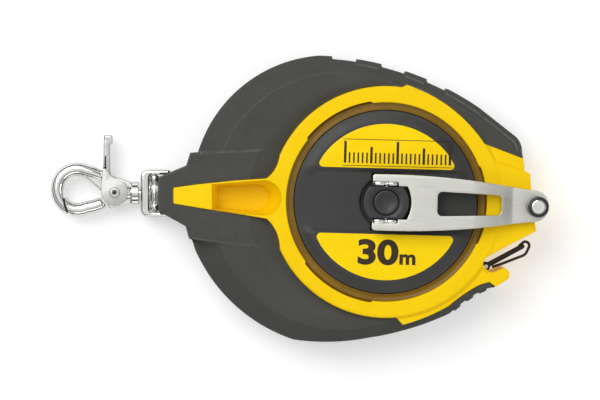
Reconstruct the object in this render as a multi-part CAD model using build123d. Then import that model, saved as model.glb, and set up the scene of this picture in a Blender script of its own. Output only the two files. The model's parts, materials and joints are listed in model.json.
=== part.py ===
from build123d import *
import math
import os

os.makedirs("parts", exist_ok=True)

# Surveyor tape reel, millimetres. The case lies on its back on z = 0, the reel turns about
# +Z through the origin, the blade leaves towards -X and +Y is the top of the dial.

# driving dimensions
PARTING_Z = 19.5  # where the two case halves meet
BODY_TOP_Z = 36.0  # rubber plateau of the front
NOSE_TOP_Z = 38.6  # nose and grip lobe faces
RING_TOP_Z = 39.5  # bezel round the dial, the highest part of the case
WALL = 2.4  # moulded wall
RUBBER = 2.2  # thickness of the soft grip
BEZEL_R = 69.2
BACK_PLATE_R = 74.0  # the hard round plate of the back, inside the rubber rim
BACK_PLATE_X = -26.0
NECK_HALF = 10.2  # half the width of the snout between the bail arms
SCREWS = (
    (76.0, 2.0),
    (60.0, 40.0),
    (-4.0, 71.3),
    (-72.0, 46.0),
    (-72.0, -46.0),
    (-4.0, -71.0),
    (52.6, -48.0),
)
DIAL_BORE_R = 59.7
REST_TURN = -1.5  # how the dial and crank stand when parked, degrees

BLADE_Z = 9.55  # blade centre height
BLADE_WIDTH = 9.5
BLADE_THICK = 0.3
MOUTH_Y = 4.7  # the blade leaves along this line
COIL_R = 63.0
HUB_R = 33.0
CHAMBER_R = 66.5
ROLLER_X = -74.0
ROLLER_R = 8.0
ROLLER_WRAP_R = ROLLER_R + 0.5  # the blade's centre line clears the roller
COIL_WRAP_R = COIL_R + 0.5
ROLLER_Y = MOUTH_Y - ROLLER_WRAP_R

MODULE = 1.5
SUN_TEETH = 24
PLANET_TEETH = 12
RING_TEETH = 48
PRESSURE = math.radians(25)
BACKLASH = 0.16  # how much each tooth is thinned at the pitch circle
GEAR_LOW_Z = 20.3
GEAR_TOP_Z = 26.3
ORBIT_R = MODULE * (SUN_TEETH + PLANET_TEETH) / 2
PIN_R = 2.0  # planet pins
HUB_NECK_R = 8.0
AXLE_R = 3.0
FIT = 0.05  # radial running clearance

DIAL_R = 54.6
DIAL_TOP_Z = 38.5
CHANNEL_Z = 37.0  # floor of the channel the folded crank lies in
WELL_Z = 33.2  # floor of the well round the hub
HUB_BLOCK_R = 13.6
HUB_FLAT = 9.4  # half the width over the flats of the hub block
HINGE_Z = 43.5  # crank hinge height
PIN_IN = 5.6  # how near the middle the hinge pins reach
CRANK_LOW_Z = 45.9
CRANK_THICK = 2.0
CRANK_STEP = 4.0  # how far the crank's outer end is set down
KNOB_X = 89.2
KNOB_R = 6.2

BARREL_X = -139.0  # the hinge barrel on the end of the blade
RING_X = -185.7  # snap hook
RING_Y = 6.9
RING_R = 12.3
RING_WIRE = 4.0
PIVOT = (-163.0, 5.2)
GATE_REACH = 31.05  # the fixed beak is cut back to this radius about the pivot
GATE_GAP = 0.25


def outline(start, *steps):
    """A closed face. A step is the next corner, or (through, end) for an arc."""
    edges = []
    here = start
    for step in steps:
        if isinstance(step[0], tuple):
            edges.append(ThreePointArc(here, step[0], step[1]))
            here = step[1]
        else:
            edges.append(Line(here, step))
            here = step
    if math.dist(here, start) > 0.001:
        edges.append(Line(here, start))
    return make_face(edges)


def slab(face, low, high):
    """A flat outline stood up between two heights."""
    return Pos(0, 0, low) * extrude(face, high - low, dir=(0, 0, 1))


def disc(radius, low, high, x=0.0, y=0.0):
    """An upright round bar."""
    return Pos(x, y, (low + high) / 2) * Cylinder(radius, high - low)


def tube(outer, inner, low, high, x=0.0, y=0.0):
    """An upright tube."""
    return disc(outer, low, high, x, y) - disc(inner, low - 1, high + 1, x, y)


def block(x0, x1, y0, y1, z0, z1):
    """A box given by its limits."""
    centre = Pos((x0 + x1) / 2, (y0 + y1) / 2, (z0 + z1) / 2)
    return centre * Box(x1 - x0, y1 - y0, z1 - z0)


def around(count, radius, start=0.0):
    """Evenly spaced points round the reel axis."""
    turns = [math.radians(start + 360 * i / count) for i in range(count)]
    return [(radius * math.cos(t), radius * math.sin(t)) for t in turns]


def crosswise(shape):
    """Turns an upright round shape to lie along Y."""
    return Rot(90, 0, 0) * shape


def rod(radius, *edges):
    """Round wire along joined lines and arcs, with a ball at every joint."""
    whole = None
    for edge in edges:
        path = Wire([edge])
        piece = sweep(Plane(path @ 0, z_dir=path % 0) * Circle(radius), path)
        if whole is None:
            whole = piece
        else:
            whole += Pos(*(path @ 0)) * Sphere(radius) + piece
    return whole


def save(name, shape):
    shape.label = name
    export_step(shape, f"parts/{name}.step")


# ---------------------------------------------------------------- case outlines
def body_outline():
    """The case from the front without its nose and its clip notch."""
    return outline(
        (-112.4, 29.7),
        ((-87.6, 67.8), (-39.6, 87.6)),
        ((11.6, 78.4), (55.6, 56.6)),
        (76.4, 40.2),
        ((80.4, 35.8), (81.6, 30.5)),
        (82.8, 18.6),
        (85.9, 17.0),
        ((87.5, 0.0), (89.7, -17.4)),
        (73.9, -43.6),
        (65.8, -50.7),
        (60.4, -52.0),
        ((49.2, -58.2), (38.6, -66.8)),
        ((15.0, -76.2), (-9.6, -81.6)),
        ((-33.0, -84.2), (-55.0, -83.0)),
        ((-92.6, -60.2), (-112.4, -33.0)),
        ((-118.9, -1.0), (-112.4, 29.7)),
    )


def plateau_outline():
    """The flat top of the rubber front. Past the grip lobes it runs clear of the case."""
    return outline(
        (5.9, -69.0),
        ((-103.6, 0.0), (7.7, 69.2)),
        ((43.0, 57.0), (73.5, 36.0)),
        (79.0, 26.5),
        (100.0, 20.0),
        (100.0, -30.0),
        (76.0, -56.0),
        (60.0, -49.6),
        ((48.0, -55.6), (36.5, -63.6)),
        ((21.5, -66.6), (5.9, -69.0)),
    )


def bezel_outline():
    """Everything on the front that is hard yellow moulding: nose strip, bezel, grip lobes."""
    return outline(
        (-126.7, 8.6),
        (-111.6, 10.7),
        (-90.0, 12.9),
        (-71.0, 14.2),
        ((-66.8, 18.6), (-63.3, 28.0)),
        ((-9.0, 68.6), (9.5, 68.5)),
        (12.6, 69.9),
        ((38.6, 56.2), (58.8, 34.8)),
        (82.1, 25.9),
        (100.0, 20.0),
        (100.0, -60.0),
        (72.0, -60.0),
        (65.8, -50.7),
        (61.8, -47.9),
        ((57.0, -49.2), (52.2, -51.6)),
        ((44.8, -56.4), (37.8, -62.0)),
        ((24.4, -68.6), (10.2, -73.4)),
        (6.2, -68.9),
        ((-26.0, -64.1), (-63.3, -28.0)),
        ((-66.8, -15.0), (-71.0, -10.0)),
        (-90.0, -6.8),
        (-111.6, -3.5),
        (-126.7, -1.0),
    )


def nose_outline():
    """The broad front of the nose."""
    return outline(
        (-135.9, 14.8),
        (-119.1, 21.9),
        (-116.7, 29.4),
        (-73.2, 31.2),
        (-60.0, 24.0),
        (-60.0, -20.0),
        (-74.4, -27.4),
        (-114.6, -22.6),
        (-117.5, -22.0),
        (-119.5, -14.6),
        (-135.9, -5.6),
    )


def notch_outline():
    """The gap the wire clip closes, between the two grip lobes."""
    return outline(
        (100.0, -12.0),
        (89.7, -17.4),
        (74.8, -25.1),
        (60.4, -32.8),
        ((58.2, -36.8), (60.4, -40.2)),
        ((63.6, -41.9), (66.2, -41.2)),
        (69.4, -39.7),
        ((72.6, -40.7), (73.9, -43.8)),
        (100.0, -43.6),
    )


def inset(face, amount):
    return offset(face, amount=-amount, kind=Kind.ARC) if amount else face


def shoulders(height, towards):
    """The sloping block that trims the edge of a case half, widening away from its face."""
    return Pos(0, 0, height) * extrude(plateau_outline(), 40, dir=(0, 0, towards), taper=-50)


def front_body(depth):
    """The front half set in from its skin by depth."""
    top = BODY_TOP_Z - 1.3 * depth
    return slab(inset(body_outline(), depth), PARTING_Z, top) & shoulders(top, -1)


def back_body(depth):
    """The back half set in from its skin by depth."""
    low = 1.3 * depth
    return slab(inset(body_outline(), depth), low, PARTING_Z) & shoulders(low, 1)


# ---------------------------------------------------------------- case
def nose_slope(drop):
    """Everything above the nose, which falls away towards the mouth."""
    side = outline((-103.8, 0.0), (-140.0, -4.2), (-140.0, 30.0), (-103.8, 30.0))
    tool = extrude(Plane.XZ * side, 40, both=True)
    return Pos(0, 0, NOSE_TOP_Z - drop) * tool


def knob_pocket():
    """The socket in the nose that the folded knob drops into."""
    floor = outline(
        (-103.4, 9.2),
        (-72.0, 10.4),
        ((-65.8, 2.2), (-72.0, -6.0)),
        (-103.4, -4.6),
    )
    return slab(fillet(floor.vertices().sort_by(Axis.X)[:2], 1.5), 22.0, 50.0)


def grip_valleys():
    """The hollows between the finger ribs along the top edge."""
    rim = slab(body_outline(), -1, 60) - slab(inset(body_outline(), 1.8), -1, 60)
    tools = []
    for x, y, width, tilt in ((-24.5, 86, 14.6, -12), (5.0, 80, 14.6, -18), (30.4, 69.5, 12.6, -28)):
        tools.append(Pos(x, y, 30) * Rot(0, 0, tilt) * Box(width, 14, 80))
    return rim & (tools[0] + tools[1] + tools[2])


def palm_ribs():
    """Three small ribs on the lower right edge."""
    ribs = []
    for x, y, tilt in ((58.0, -53.2, 24), (50.0, -57.4, 31), (42.6, -63.0, 45)):
        bar = Pos(x, y, 20.0) * Rot(0, 0, tilt) * Box(5.0, 2.6, 27.0)
        ribs.append(fillet(bar.edges().filter_by(Axis.Z), 0.6))
    return ribs[0] + ribs[1] + ribs[2]


def hard_front():
    """The yellow moulding before it is hollowed: skin under the rubber, bezel, lobes, nose."""
    whole = body_outline() + nose_outline()
    face = bezel_outline() & whole
    strip = slab(face, PARTING_Z, 37.4)
    lobe = outline(
        (60.6, 26.2), (84.6, 17.4), (100.0, 14.0), (100.0, -22.0), (60.4, -42.0), (40.0, -20.0)
    )
    strip += slab(lobe & whole, 30.0, NOSE_TOP_Z)
    nose = outline((-140.0, 20.0), (-60.0, 30.0), (-60.0, -26.0), (-140.0, -16.0))
    strip += slab(nose & face, 30.0, NOSE_TOP_Z)
    strip -= nose_slope(0.0)
    ring = disc(BEZEL_R, PARTING_Z, RING_TOP_Z)
    ring = chamfer(ring.edges().sort_by(Axis.Z)[-1], 0.9)
    skin = slab(inset(nose_outline(), RUBBER), PARTING_Z, 34.6) - nose_slope(3.6)
    return strip + ring + front_body(RUBBER) + skin


def bayonet(low, high, radius, width):
    """Three arcs of a disc, each width degrees long."""
    sector = outline(
        (0.0, 0.0),
        (80 * math.cos(math.radians(width / 2)), -80 * math.sin(math.radians(width / 2))),
        (80 * math.cos(math.radians(width / 2)), 80 * math.sin(math.radians(width / 2))),
    )
    arms = slab(sector, low, high)
    arms += Rot(0, 0, 120) * slab(sector, low, high) + Rot(0, 0, 240) * slab(sector, low, high)
    return disc(radius, low, high) & arms


def at_screws(radius, low, high):
    tools = [disc(radius, low, high, x, y) for x, y in SCREWS]
    whole = tools[0]
    for tool in tools[1:]:
        whole += tool
    return whole


def eye_slot():
    """The slot in the end of the notch that the clip's eye turns in."""
    return disc(3.3, 26.8, 31.2, 60.0, -38.6) + block(60.0, 66.0, -40.6, -34.0, 26.8, 31.2)


def make_front():
    hard = hard_front()
    soft = front_body(0.0) + (slab(nose_outline(), PARTING_Z, 37.0) - nose_slope(1.6))
    soft = soft - hard - disc(BEZEL_R - 1, 0, 60) - grip_valleys() - slab(notch_outline(), -1, 60)
    soft += palm_ribs() & slab(inset(body_outline(), -1.2), PARTING_Z, 60) - hard
    cavity = front_body(RUBBER + WALL) & block(-130, -8, -90, 90, 10, 60)
    cavity -= disc(DIAL_BORE_R + WALL, 0, 60) + block(-130, -60, -8.6, 13.0, 0, 60)
    cavity -= at_screws(4.0, 0, 60)
    hard -= cavity
    hard += disc(DIAL_BORE_R + WALL, 17.0, PARTING_Z)
    hard -= disc(DIAL_BORE_R, PARTING_Z, 60)
    hard += tube(DIAL_BORE_R, 57.6, PARTING_Z, 33.4) + tube(57.6, 53.6, PARTING_Z, 30.7)
    hard += tube(44.4, 42.1, PARTING_Z, 24.5)
    hard -= disc(HUB_NECK_R + 0.4, 0, 60)
    hard -= bayonet(33.4, 60, 60.8, 44) + knob_pocket() + slab(notch_outline(), -1, 60)
    hard -= eye_slot() + disc(1.22, 23.0, 34.6, 60.0, -38.6) + at_screws(1.3, 0, 26)
    insert = block(-106.5, -64.0, -8.6, 13.0, 20.5, 60)
    socket = hard & insert
    return hard - insert, socket, soft - disc(1.22, 23.0, 34.6, 60.0, -38.6)


def make_back():
    face = bezel_outline() & body_outline()
    strip = slab(face, 0.0, PARTING_Z)
    hard = back_body(RUBBER) + strip + disc(BACK_PLATE_R, 0, 8, BACK_PLATE_X)
    notch = slab(notch_outline(), -1, 60)
    holes = at_screws(3.2, -1, 2.6) + at_screws(1.5, 0, 20)
    mouth = block(-140, -90, MOUTH_Y - 1.2, MOUTH_Y + 1.2, 4.2, 14.9)
    soft = back_body(0.0) - hard - grip_valleys() - notch
    soft += palm_ribs() & slab(inset(body_outline(), -1.2), 0, PARTING_Z) - hard
    cavity = back_body(RUBBER + WALL) + disc(BACK_PLATE_R - WALL, 2.5, 8, BACK_PLATE_X)
    cavity = (cavity & block(-130, -8, -90, 90, 0, 60)) - at_screws(4.0, 0, 60)
    hard -= disc(CHAMBER_R, 2.5, 60) + cavity + notch + holes + mouth
    hard += disc(6.5, 2.0, 4.6) + disc(4.0, 2.0, 3.0, ROLLER_X, ROLLER_Y)
    hard -= disc(AXLE_R + 0.02, -1, 10) + disc(5.52, -1, 1.9)
    hard -= disc(1.52, 1.2, 10, ROLLER_X, ROLLER_Y)
    return hard, soft - holes - mouth


def make_snout():
    """The narrow block under the nose that the mouth is cut in."""
    high = MOUTH_Y + NECK_HALF
    low = MOUTH_Y - NECK_HALF
    snout = block(-135.9, -100.0, low, high, 1.6, PARTING_Z - 0.1)
    snout = chamfer(snout.edges().filter_by(Axis.Z).sort_by(Axis.X)[:2], 1.0)
    snout -= slab(body_outline(), 0, 60)
    snout -= block(-140, -100, MOUTH_Y - 1.2, MOUTH_Y + 1.2, 4.2, 14.9)
    guard = block(-135.9, -134.5, MOUTH_Y - 6.5, MOUTH_Y + 6.5, 2.8, 16.4)
    snout -= guard
    return snout, guard - block(-140, -100, MOUTH_Y - 0.8, MOUTH_Y + 0.8, 4.5, 14.6)


def make_screws():
    """Countersunk case screws, all alike."""
    screw = disc(1.28, 2.5, 25.0) + Pos(0, 0, 1.6) * Cone(2.9, 1.28, 1.8)
    screw += disc(2.9, 0.3, 0.7)
    screw -= block(-0.5, 0.5, -1.8, 1.8, 0, 1.3) + block(-1.8, 1.8, -0.5, 0.5, 0, 1.3)
    return Compound([Pos(x, y, 0) * screw for x, y in SCREWS])


front_shell, knob_socket, front_grip = make_front()
back_shell, back_grip = make_back()
snout, mouth_guard = make_snout()
save("front_shell", front_shell)
save("knob_socket", knob_socket)
save("front_grip", front_grip)
save("back_shell", back_shell)
save("back_grip", back_grip)
save("snout", snout)
save("mouth_guard", mouth_guard)
save("case_screws", make_screws())
axle = disc(AXLE_R, 0.4, 29.3) + disc(5.5, 0.4, 1.9)
save("axle", chamfer(axle.edges().sort_by(Axis.Z)[-1], 0.5))
save("roller_pin", disc(1.5, 1.3, 17.6, ROLLER_X, ROLLER_Y))
save("clip_pin", disc(1.2, 23.2, 34.4, 60.0, -38.6))

# amber ring that locks the dial in, with three bayonet lugs
keeper = tube(DIAL_BORE_R - 0.3, 55.3, 33.5, 36.0) + (bayonet(33.5, 36.0, 60.5, 42) - disc(57, 0, 60))
save("dial_keeper", keeper)


# ---------------------------------------------------------------- clip
def make_clip():
    """The sprung wire clip in the notch: eye, thick leg, curl and the thin return wire."""
    eye = tube(2.7, 1.2 + FIT, 27.2, 30.8, 60.0, -38.6)
    bar = rod(1.55, Line((61.6, -37.75, 29), (81.9, -26.8, 29)))
    wire = rod(
        0.85,
        Line((80.4, -26.2, 29), (81.9, -25.0, 29)),
        ThreePointArc((81.9, -25.0, 29), (85.2, -24.4, 29), (85.9, -27.4, 29)),
        Line((85.9, -27.4, 29), (84.6, -30.2, 29)),
        ThreePointArc((84.6, -30.2, 29), (83.4, -31.7, 29), (81.6, -32.6, 29)),
        Line((81.6, -32.6, 29), (69.5, -37.3, 29)),
        Line((69.5, -37.3, 29), (64.6, -38.9, 29)),
    )
    bar += Pos(81.9, -26.8, 29) * Sphere(1.55)
    wire += Pos(64.6, -38.9, 29) * Sphere(0.85)
    wire -= bar
    return bar + (eye - bar), wire


# ---------------------------------------------------------------- blade path
def blade_strip(path):
    """The steel blade on edge along a flat path."""
    section = Plane(path @ 0, x_dir=(0, 0, 1), z_dir=path % 0) * Rectangle(BLADE_WIDTH, BLADE_THICK)
    return sweep(section, path)


def make_blade_lead():
    """From the coil, round the roller and into line with the mouth."""
    span = math.hypot(ROLLER_X, ROLLER_Y)
    crossing = math.asin((ROLLER_WRAP_R + COIL_WRAP_R) / span)
    heading = math.atan2(-ROLLER_Y, -ROLLER_X) - crossing
    off = heading + math.pi / 2

    def on_coil(angle):
        return (COIL_WRAP_R * math.cos(angle), COIL_WRAP_R * math.sin(angle), BLADE_Z)

    def on_roller(angle):
        x = ROLLER_X + ROLLER_WRAP_R * math.cos(angle)
        return (x, ROLLER_Y + ROLLER_WRAP_R * math.sin(angle), BLADE_Z)

    top = on_roller(math.pi / 2)
    path = Wire(
        [
            Line((top[0] - 4.0, MOUTH_Y, BLADE_Z), top),
            ThreePointArc(top, on_roller((math.pi / 2 + off) / 2), on_roller(off)),
            Line(on_roller(off), on_coil(off + math.pi)),
            ThreePointArc(on_coil(off + math.pi), on_coil(off + 3.5), on_coil(off + 3.9)),
        ]
    )
    return blade_strip(path)


def make_roller():
    roller = tube(ROLLER_R, 1.5 + FIT, 3.6, 15.5, ROLLER_X, ROLLER_Y)
    for low, high in ((3.6, 4.4), (14.7, 15.5)):
        roller += tube(ROLLER_R + 1.0, ROLLER_R - 1, low, high, ROLLER_X, ROLLER_Y)
    return roller


# ---------------------------------------------------------------- reel
def make_reel():
    hub = tube(HUB_R, HUB_R - 2.5, 4.3, 14.8) + tube(HUB_R - 2, 6, 8.4, 10.4)
    hub += disc(HUB_NECK_R, 4.9, 20.2)
    hexagon = RegularPolygon(radius=5.7, side_count=6)
    hub += slab(hexagon, 20.0, GEAR_TOP_Z - 0.2)
    for x, y in around(6, 19.5):
        hub -= disc(5.0, 0, 20, x, y)
    hub -= disc(AXLE_R + FIT, 0, 40)
    flange = tube(64.5, 26.0, 14.8, 15.8)
    for x, y in around(8, 48.0):
        flange -= disc(6.0, 0, 20, x, y)
    rear = Pos(0, 0, -11.5) * flange
    anchor = Pos(HUB_R - 1.6, 0, BLADE_Z) * Rot(0, 90, 0) * Cylinder(1.6, 3.0)
    hub -= Pos(HUB_R - 1.6, 0, BLADE_Z) * Rot(0, 90, 0) * Cylinder(1.62, 6.0)
    coil = tube(COIL_R, HUB_R + 0.02, 4.8, 14.3)
    return hub, flange, rear, anchor, coil


# ---------------------------------------------------------------- gears
def involute(angle):
    return math.tan(angle) - angle


def gear_face(teeth, tip, root, internal=False):
    """A toothed outline. Each flank is one arc through three points of the involute."""
    pitch = MODULE * teeth / 2
    base = pitch * math.cos(PRESSURE)
    thinning = BACKLASH / 2 / pitch * (-1 if internal else 1)
    half = math.pi / 2 / teeth - thinning + involute(PRESSURE)

    def flank(radius, side, middle):
        reach = max(radius, base + 0.001)
        turn = middle + side * (half - involute(math.acos(base / reach)))
        return (radius * math.cos(turn), radius * math.sin(turn))

    start = max(root, base)
    edges = []
    for n in range(teeth):
        middle = 2 * math.pi * n / teeth
        up = [flank(r, -1, middle) for r in (start, (start + tip) / 2, tip)]
        down = [flank(r, 1, middle) for r in (tip, (start + tip) / 2, start)]
        after = flank(start, -1, middle + 2 * math.pi / teeth)
        foot = flank(root, 1, middle)
        foot_after = flank(root, -1, middle + 2 * math.pi / teeth)
        edges.append(ThreePointArc(*up))
        edges.append(Line(up[2], down[0]))
        edges.append(ThreePointArc(*down))
        if root < base:
            edges.append(Line(down[2], foot))
            edges.append(Line(foot, foot_after))
            edges.append(Line(foot_after, after))
        else:
            edges.append(Line(foot, foot_after))
    return make_face(edges)


def spur_gear(teeth, bore):
    pitch = MODULE * teeth / 2
    face = gear_face(teeth, pitch + 0.9 * MODULE, pitch - 1.2 * MODULE)
    return slab(face, GEAR_LOW_Z, GEAR_TOP_Z) - bore


def make_ring_gear():
    """The fixed internal gear: a plain ring cut by the outline of a gear of the same size."""
    pitch = MODULE * RING_TEETH / 2
    cutter = gear_face(RING_TEETH, pitch + 1.15 * MODULE, pitch - 0.8 * MODULE, internal=True)
    cutter = Rot(0, 0, 180 / RING_TEETH) * cutter
    return disc(42.0, PARTING_Z, GEAR_TOP_Z) - slab(cutter, PARTING_Z - 1, GEAR_TOP_Z + 1)


ORBIT = around(3, ORBIT_R)


def make_planets():
    hole = disc(PIN_R + FIT, 0, 40)
    planet = spur_gear(PLANET_TEETH, hole)
    planet += tube(4.4, PIN_R + FIT, GEAR_TOP_Z - 0.2, GEAR_TOP_Z + 0.3)
    planets = []
    for n, (x, y) in enumerate(ORBIT):
        phase = 120 * n + 180 / PLANET_TEETH
        planets.append(Pos(x, y, 0) * Rot(0, 0, phase) * planet)
    return planets


# ---------------------------------------------------------------- dial, turning with the crank
def parked(shape):
    """Turns a shape by the small angle the dial is parked at."""
    return Rot(0, 0, REST_TURN) * shape


def d_label(chord, radius, side):
    """A half-moon label beyond a chord, with rounded corners."""
    disc_face = Circle(radius)
    cut = Pos(0, side * (chord + 50)) * Rectangle(200, 100)
    face = disc_face & cut
    return fillet(face.vertices(), 2.8)


def make_dial():
    dial = disc(DIAL_R, 35.4, DIAL_TOP_Z)
    dial = chamfer(dial.edges().sort_by(Axis.Z)[-1], 0.8)
    dial += tube(54.2, 51.5, 31.0, 35.6) + tube(57.2, 52.0, 31.0, 33.2)
    dial += disc(22.5, 31.0, 35.6)
    for x, y in ORBIT:
        dial += disc(4.6, 27.0, 36.0, x, y)
    dial += disc(6.5, 27.0, 31.2)
    channel = RectangleRounded(93, 38.8, 4.0)
    cut = Pos(0, 0, DIAL_TOP_Z) * extrude(
        channel, DIAL_TOP_Z - CHANNEL_Z, dir=(0, 0, -1), taper=58
    )
    well = disc(15.5, WELL_Z, 50) + block(-10.4, 10.4, -17.4, 17.4, WELL_Z, 50)
    dial -= parked(cut + well)
    dial -= disc(AXLE_R + FIT, 20, 29.8)
    for x, y in ORBIT:
        dial -= disc(PIN_R + 0.01, 20, 33.5, x, y)
    return dial - parked(block(-3.2, 3.2, -1.1, 1.1, 29.8, 31.2))


def make_planet_pins():
    return Compound([disc(PIN_R, 19.9, 33.4, x, y) for x, y in ORBIT])


def make_hub():
    """The double-D block the crank hinges on, with a press button in its middle."""
    hub = disc(HUB_BLOCK_R, WELL_Z, 47.4) & block(-20, 20, -HUB_FLAT, HUB_FLAT, 0, 60)
    hub = fillet(hub.edges().filter_by(Axis.Z), 1.2)
    hub = chamfer(hub.faces().sort_by(Axis.Z)[-1].edges(), 0.6)
    hub -= disc(7.6, 45.1, 60) + disc(4.9, 34.4, 60)
    hub -= crosswise(Cylinder(1.42, 60)).moved(Location((0, 0, HINGE_Z)))
    button = disc(7.3, 46.4, 47.9) + disc(4.6, 38.8, 46.6)
    button = fillet(button.edges().filter_by(GeomType.CIRCLE).sort_by(Axis.Z)[-1], 0.5)
    button -= Pos(0, 0, 61.4) * Sphere(14.3)
    return parked(hub), parked(button)


def make_hinge_pins():
    """Two headed pins, one through each ear of the crank."""
    pins = []
    for side in (-1, 1):
        shank = crosswise(Cylinder(1.4, 12.3 - PIN_IN))
        head = crosswise(Cylinder(2.1, 0.9))
        shank = Pos(0, side * (12.3 + PIN_IN) / 2, HINGE_Z) * shank
        pins.append(parked(shank + Pos(0, side * 12.45, HINGE_Z) * head))
    return Compound(pins)


def coil_spring(radius, wire, pitch, height):
    path = Helix(pitch=pitch, height=height, radius=radius)
    return sweep(Plane(path @ 0, z_dir=path % 0) * Circle(wire), path, is_frenet=True)


# ---------------------------------------------------------------- crank
def crank_plan():
    """The arm from the front, with the hinge at x = 0 and the knob at KNOB_X."""
    return outline(
        (-6.2, -16.65),
        (-8.2, -14.6),
        (-8.2, 14.6),
        (-6.2, 16.65),
        ((24.0, 16.3), (56.0, 13.7)),
        (82.0, 10.4),
        ((97.4, 0.0), (82.0, -10.4)),
        (56.0, -13.7),
        ((24.0, -16.3), (-6.2, -16.65)),
    )


def make_crank():
    low = CRANK_LOW_Z
    side = outline(
        (-12.0, low),
        (55.2, low),
        (76.2, low - CRANK_STEP),
        (100.0, low - CRANK_STEP),
        (100.0, low - CRANK_STEP + CRANK_THICK),
        (76.2, low - CRANK_STEP + CRANK_THICK),
        (55.2, low + CRANK_THICK),
        (-12.0, low + CRANK_THICK),
    )
    strip = extrude(Plane.XZ * side, 20, both=True)
    arm = strip & slab(crank_plan(), 30, 60)
    fork = outline((-20.0, -9.8), (12.6, -9.8), ((14.9, 0.0), (12.6, 9.8)), (-20.0, 9.8))
    window = outline((31.2, -7.3), (69.5, -5.9), (69.5, 5.9), (31.2, 7.3))
    window = fillet(window.vertices(), 3.0)
    arm -= slab(fork, 30, 60) + slab(window, 30, 60)
    for inner in (-11.8, 9.8):
        ear = block(-7.4, 6.6, inner, inner + 2.0, 39.7, low + CRANK_THICK)
        ear = fillet(ear.edges().filter_by(Axis.Y).sort_by(Axis.Z)[:2], 3.4)
        arm += ear
    arm -= crosswise(Cylinder(1.4 + FIT, 60)).moved(Location((0, 0, HINGE_Z)))
    return parked(arm - disc(2.62, 30, 60, KNOB_X))


def make_knob():
    """The black knob and the steel rivet it turns on."""
    foot = CRANK_LOW_Z - CRANK_STEP
    knob = disc(KNOB_R, foot + 2.3, 62.6)
    knob = fillet(knob.edges().filter_by(GeomType.CIRCLE), 1.1)
    for x, y in around(12, KNOB_R + 0.35):
        knob -= disc(0.6, foot + 5.0, 60.0, x, y)
    knob -= disc(2.6 + FIT, 0, 80)
    rivet = disc(2.6, foot - 0.2, 63.0) + disc(4.2, foot - 0.9, foot)
    rivet += chamfer(disc(4.3, 62.8, 63.8).edges().sort_by(Axis.Z)[-1], 0.4)
    at_end = Rot(0, 0, REST_TURN) * Pos(KNOB_X, 0, 0)
    return at_end * knob, at_end * rivet


# ---------------------------------------------------------------- blade end, bail and snap hook
def lengthwise(shape):
    """Turns an upright round shape to lie along X."""
    return Rot(0, 90, 0) * shape


def turned(points):
    """A body of revolution about the swivel axis from (x, radius) corners."""
    corners = [(points[0][0], 0.0), *points, (points[-1][0], 0.0)]
    face = Plane.XY * make_face(Polyline(*corners, close=True))
    return Pos(0, MOUTH_Y, BLADE_Z) * revolve(face, Axis.X)


def make_blade_end():
    """The free end of the blade, its clamp, the banded barrel and the bail it carries."""
    strip = block(-137.6, -78.4, MOUTH_Y - BLADE_THICK / 2, MOUTH_Y + BLADE_THICK / 2, 4.8, 14.3)
    barrel = crosswise(Cylinder(2.1, 21.4))
    for y, width in ((-8.6, 4.0), (0.0, 9.6), (8.6, 4.0)):
        barrel += Pos(0, y, 0) * crosswise(Cylinder(2.6, width))
    barrel = Pos(BARREL_X, MOUTH_Y, BLADE_Z) * barrel
    barrel -= strip
    low = MOUTH_Y - 14.2
    high = MOUTH_Y + 14.2
    bail = block(-147.4, -129.6, low, high, BLADE_Z - 3.6, BLADE_Z + 3.6)
    bail = fillet(bail.edges().filter_by(Axis.Z).sort_by(Axis.X)[:2], 4.2)
    inner = block(-141.8, -120, MOUTH_Y - 11.2, MOUTH_Y + 11.2, 0, 20)
    bail -= fillet(inner.edges().filter_by(Axis.Z).sort_by(Axis.X)[:2], 1.6)
    arms = bail.edges().filter_by(Axis.Y).sort_by(Axis.X)[-4:]
    bail = fillet(arms, 3.2)
    bail -= Pos(-140, MOUTH_Y, BLADE_Z) * lengthwise(Cylinder(2.6 + FIT, 30))
    bail -= Pos(-141.8, MOUTH_Y, BLADE_Z) * lengthwise(Cylinder(5.2, 5.2))
    pin = Pos(BARREL_X, MOUTH_Y, BLADE_Z) * crosswise(Cylinder(1.2, 26.0))
    barrel -= pin
    bail -= pin
    return strip, barrel, bail, pin


def ring_point(angle, height=BLADE_Z):
    turn = math.radians(angle)
    return (RING_X + RING_R * math.cos(turn), RING_Y + RING_R * math.sin(turn), height)


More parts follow.
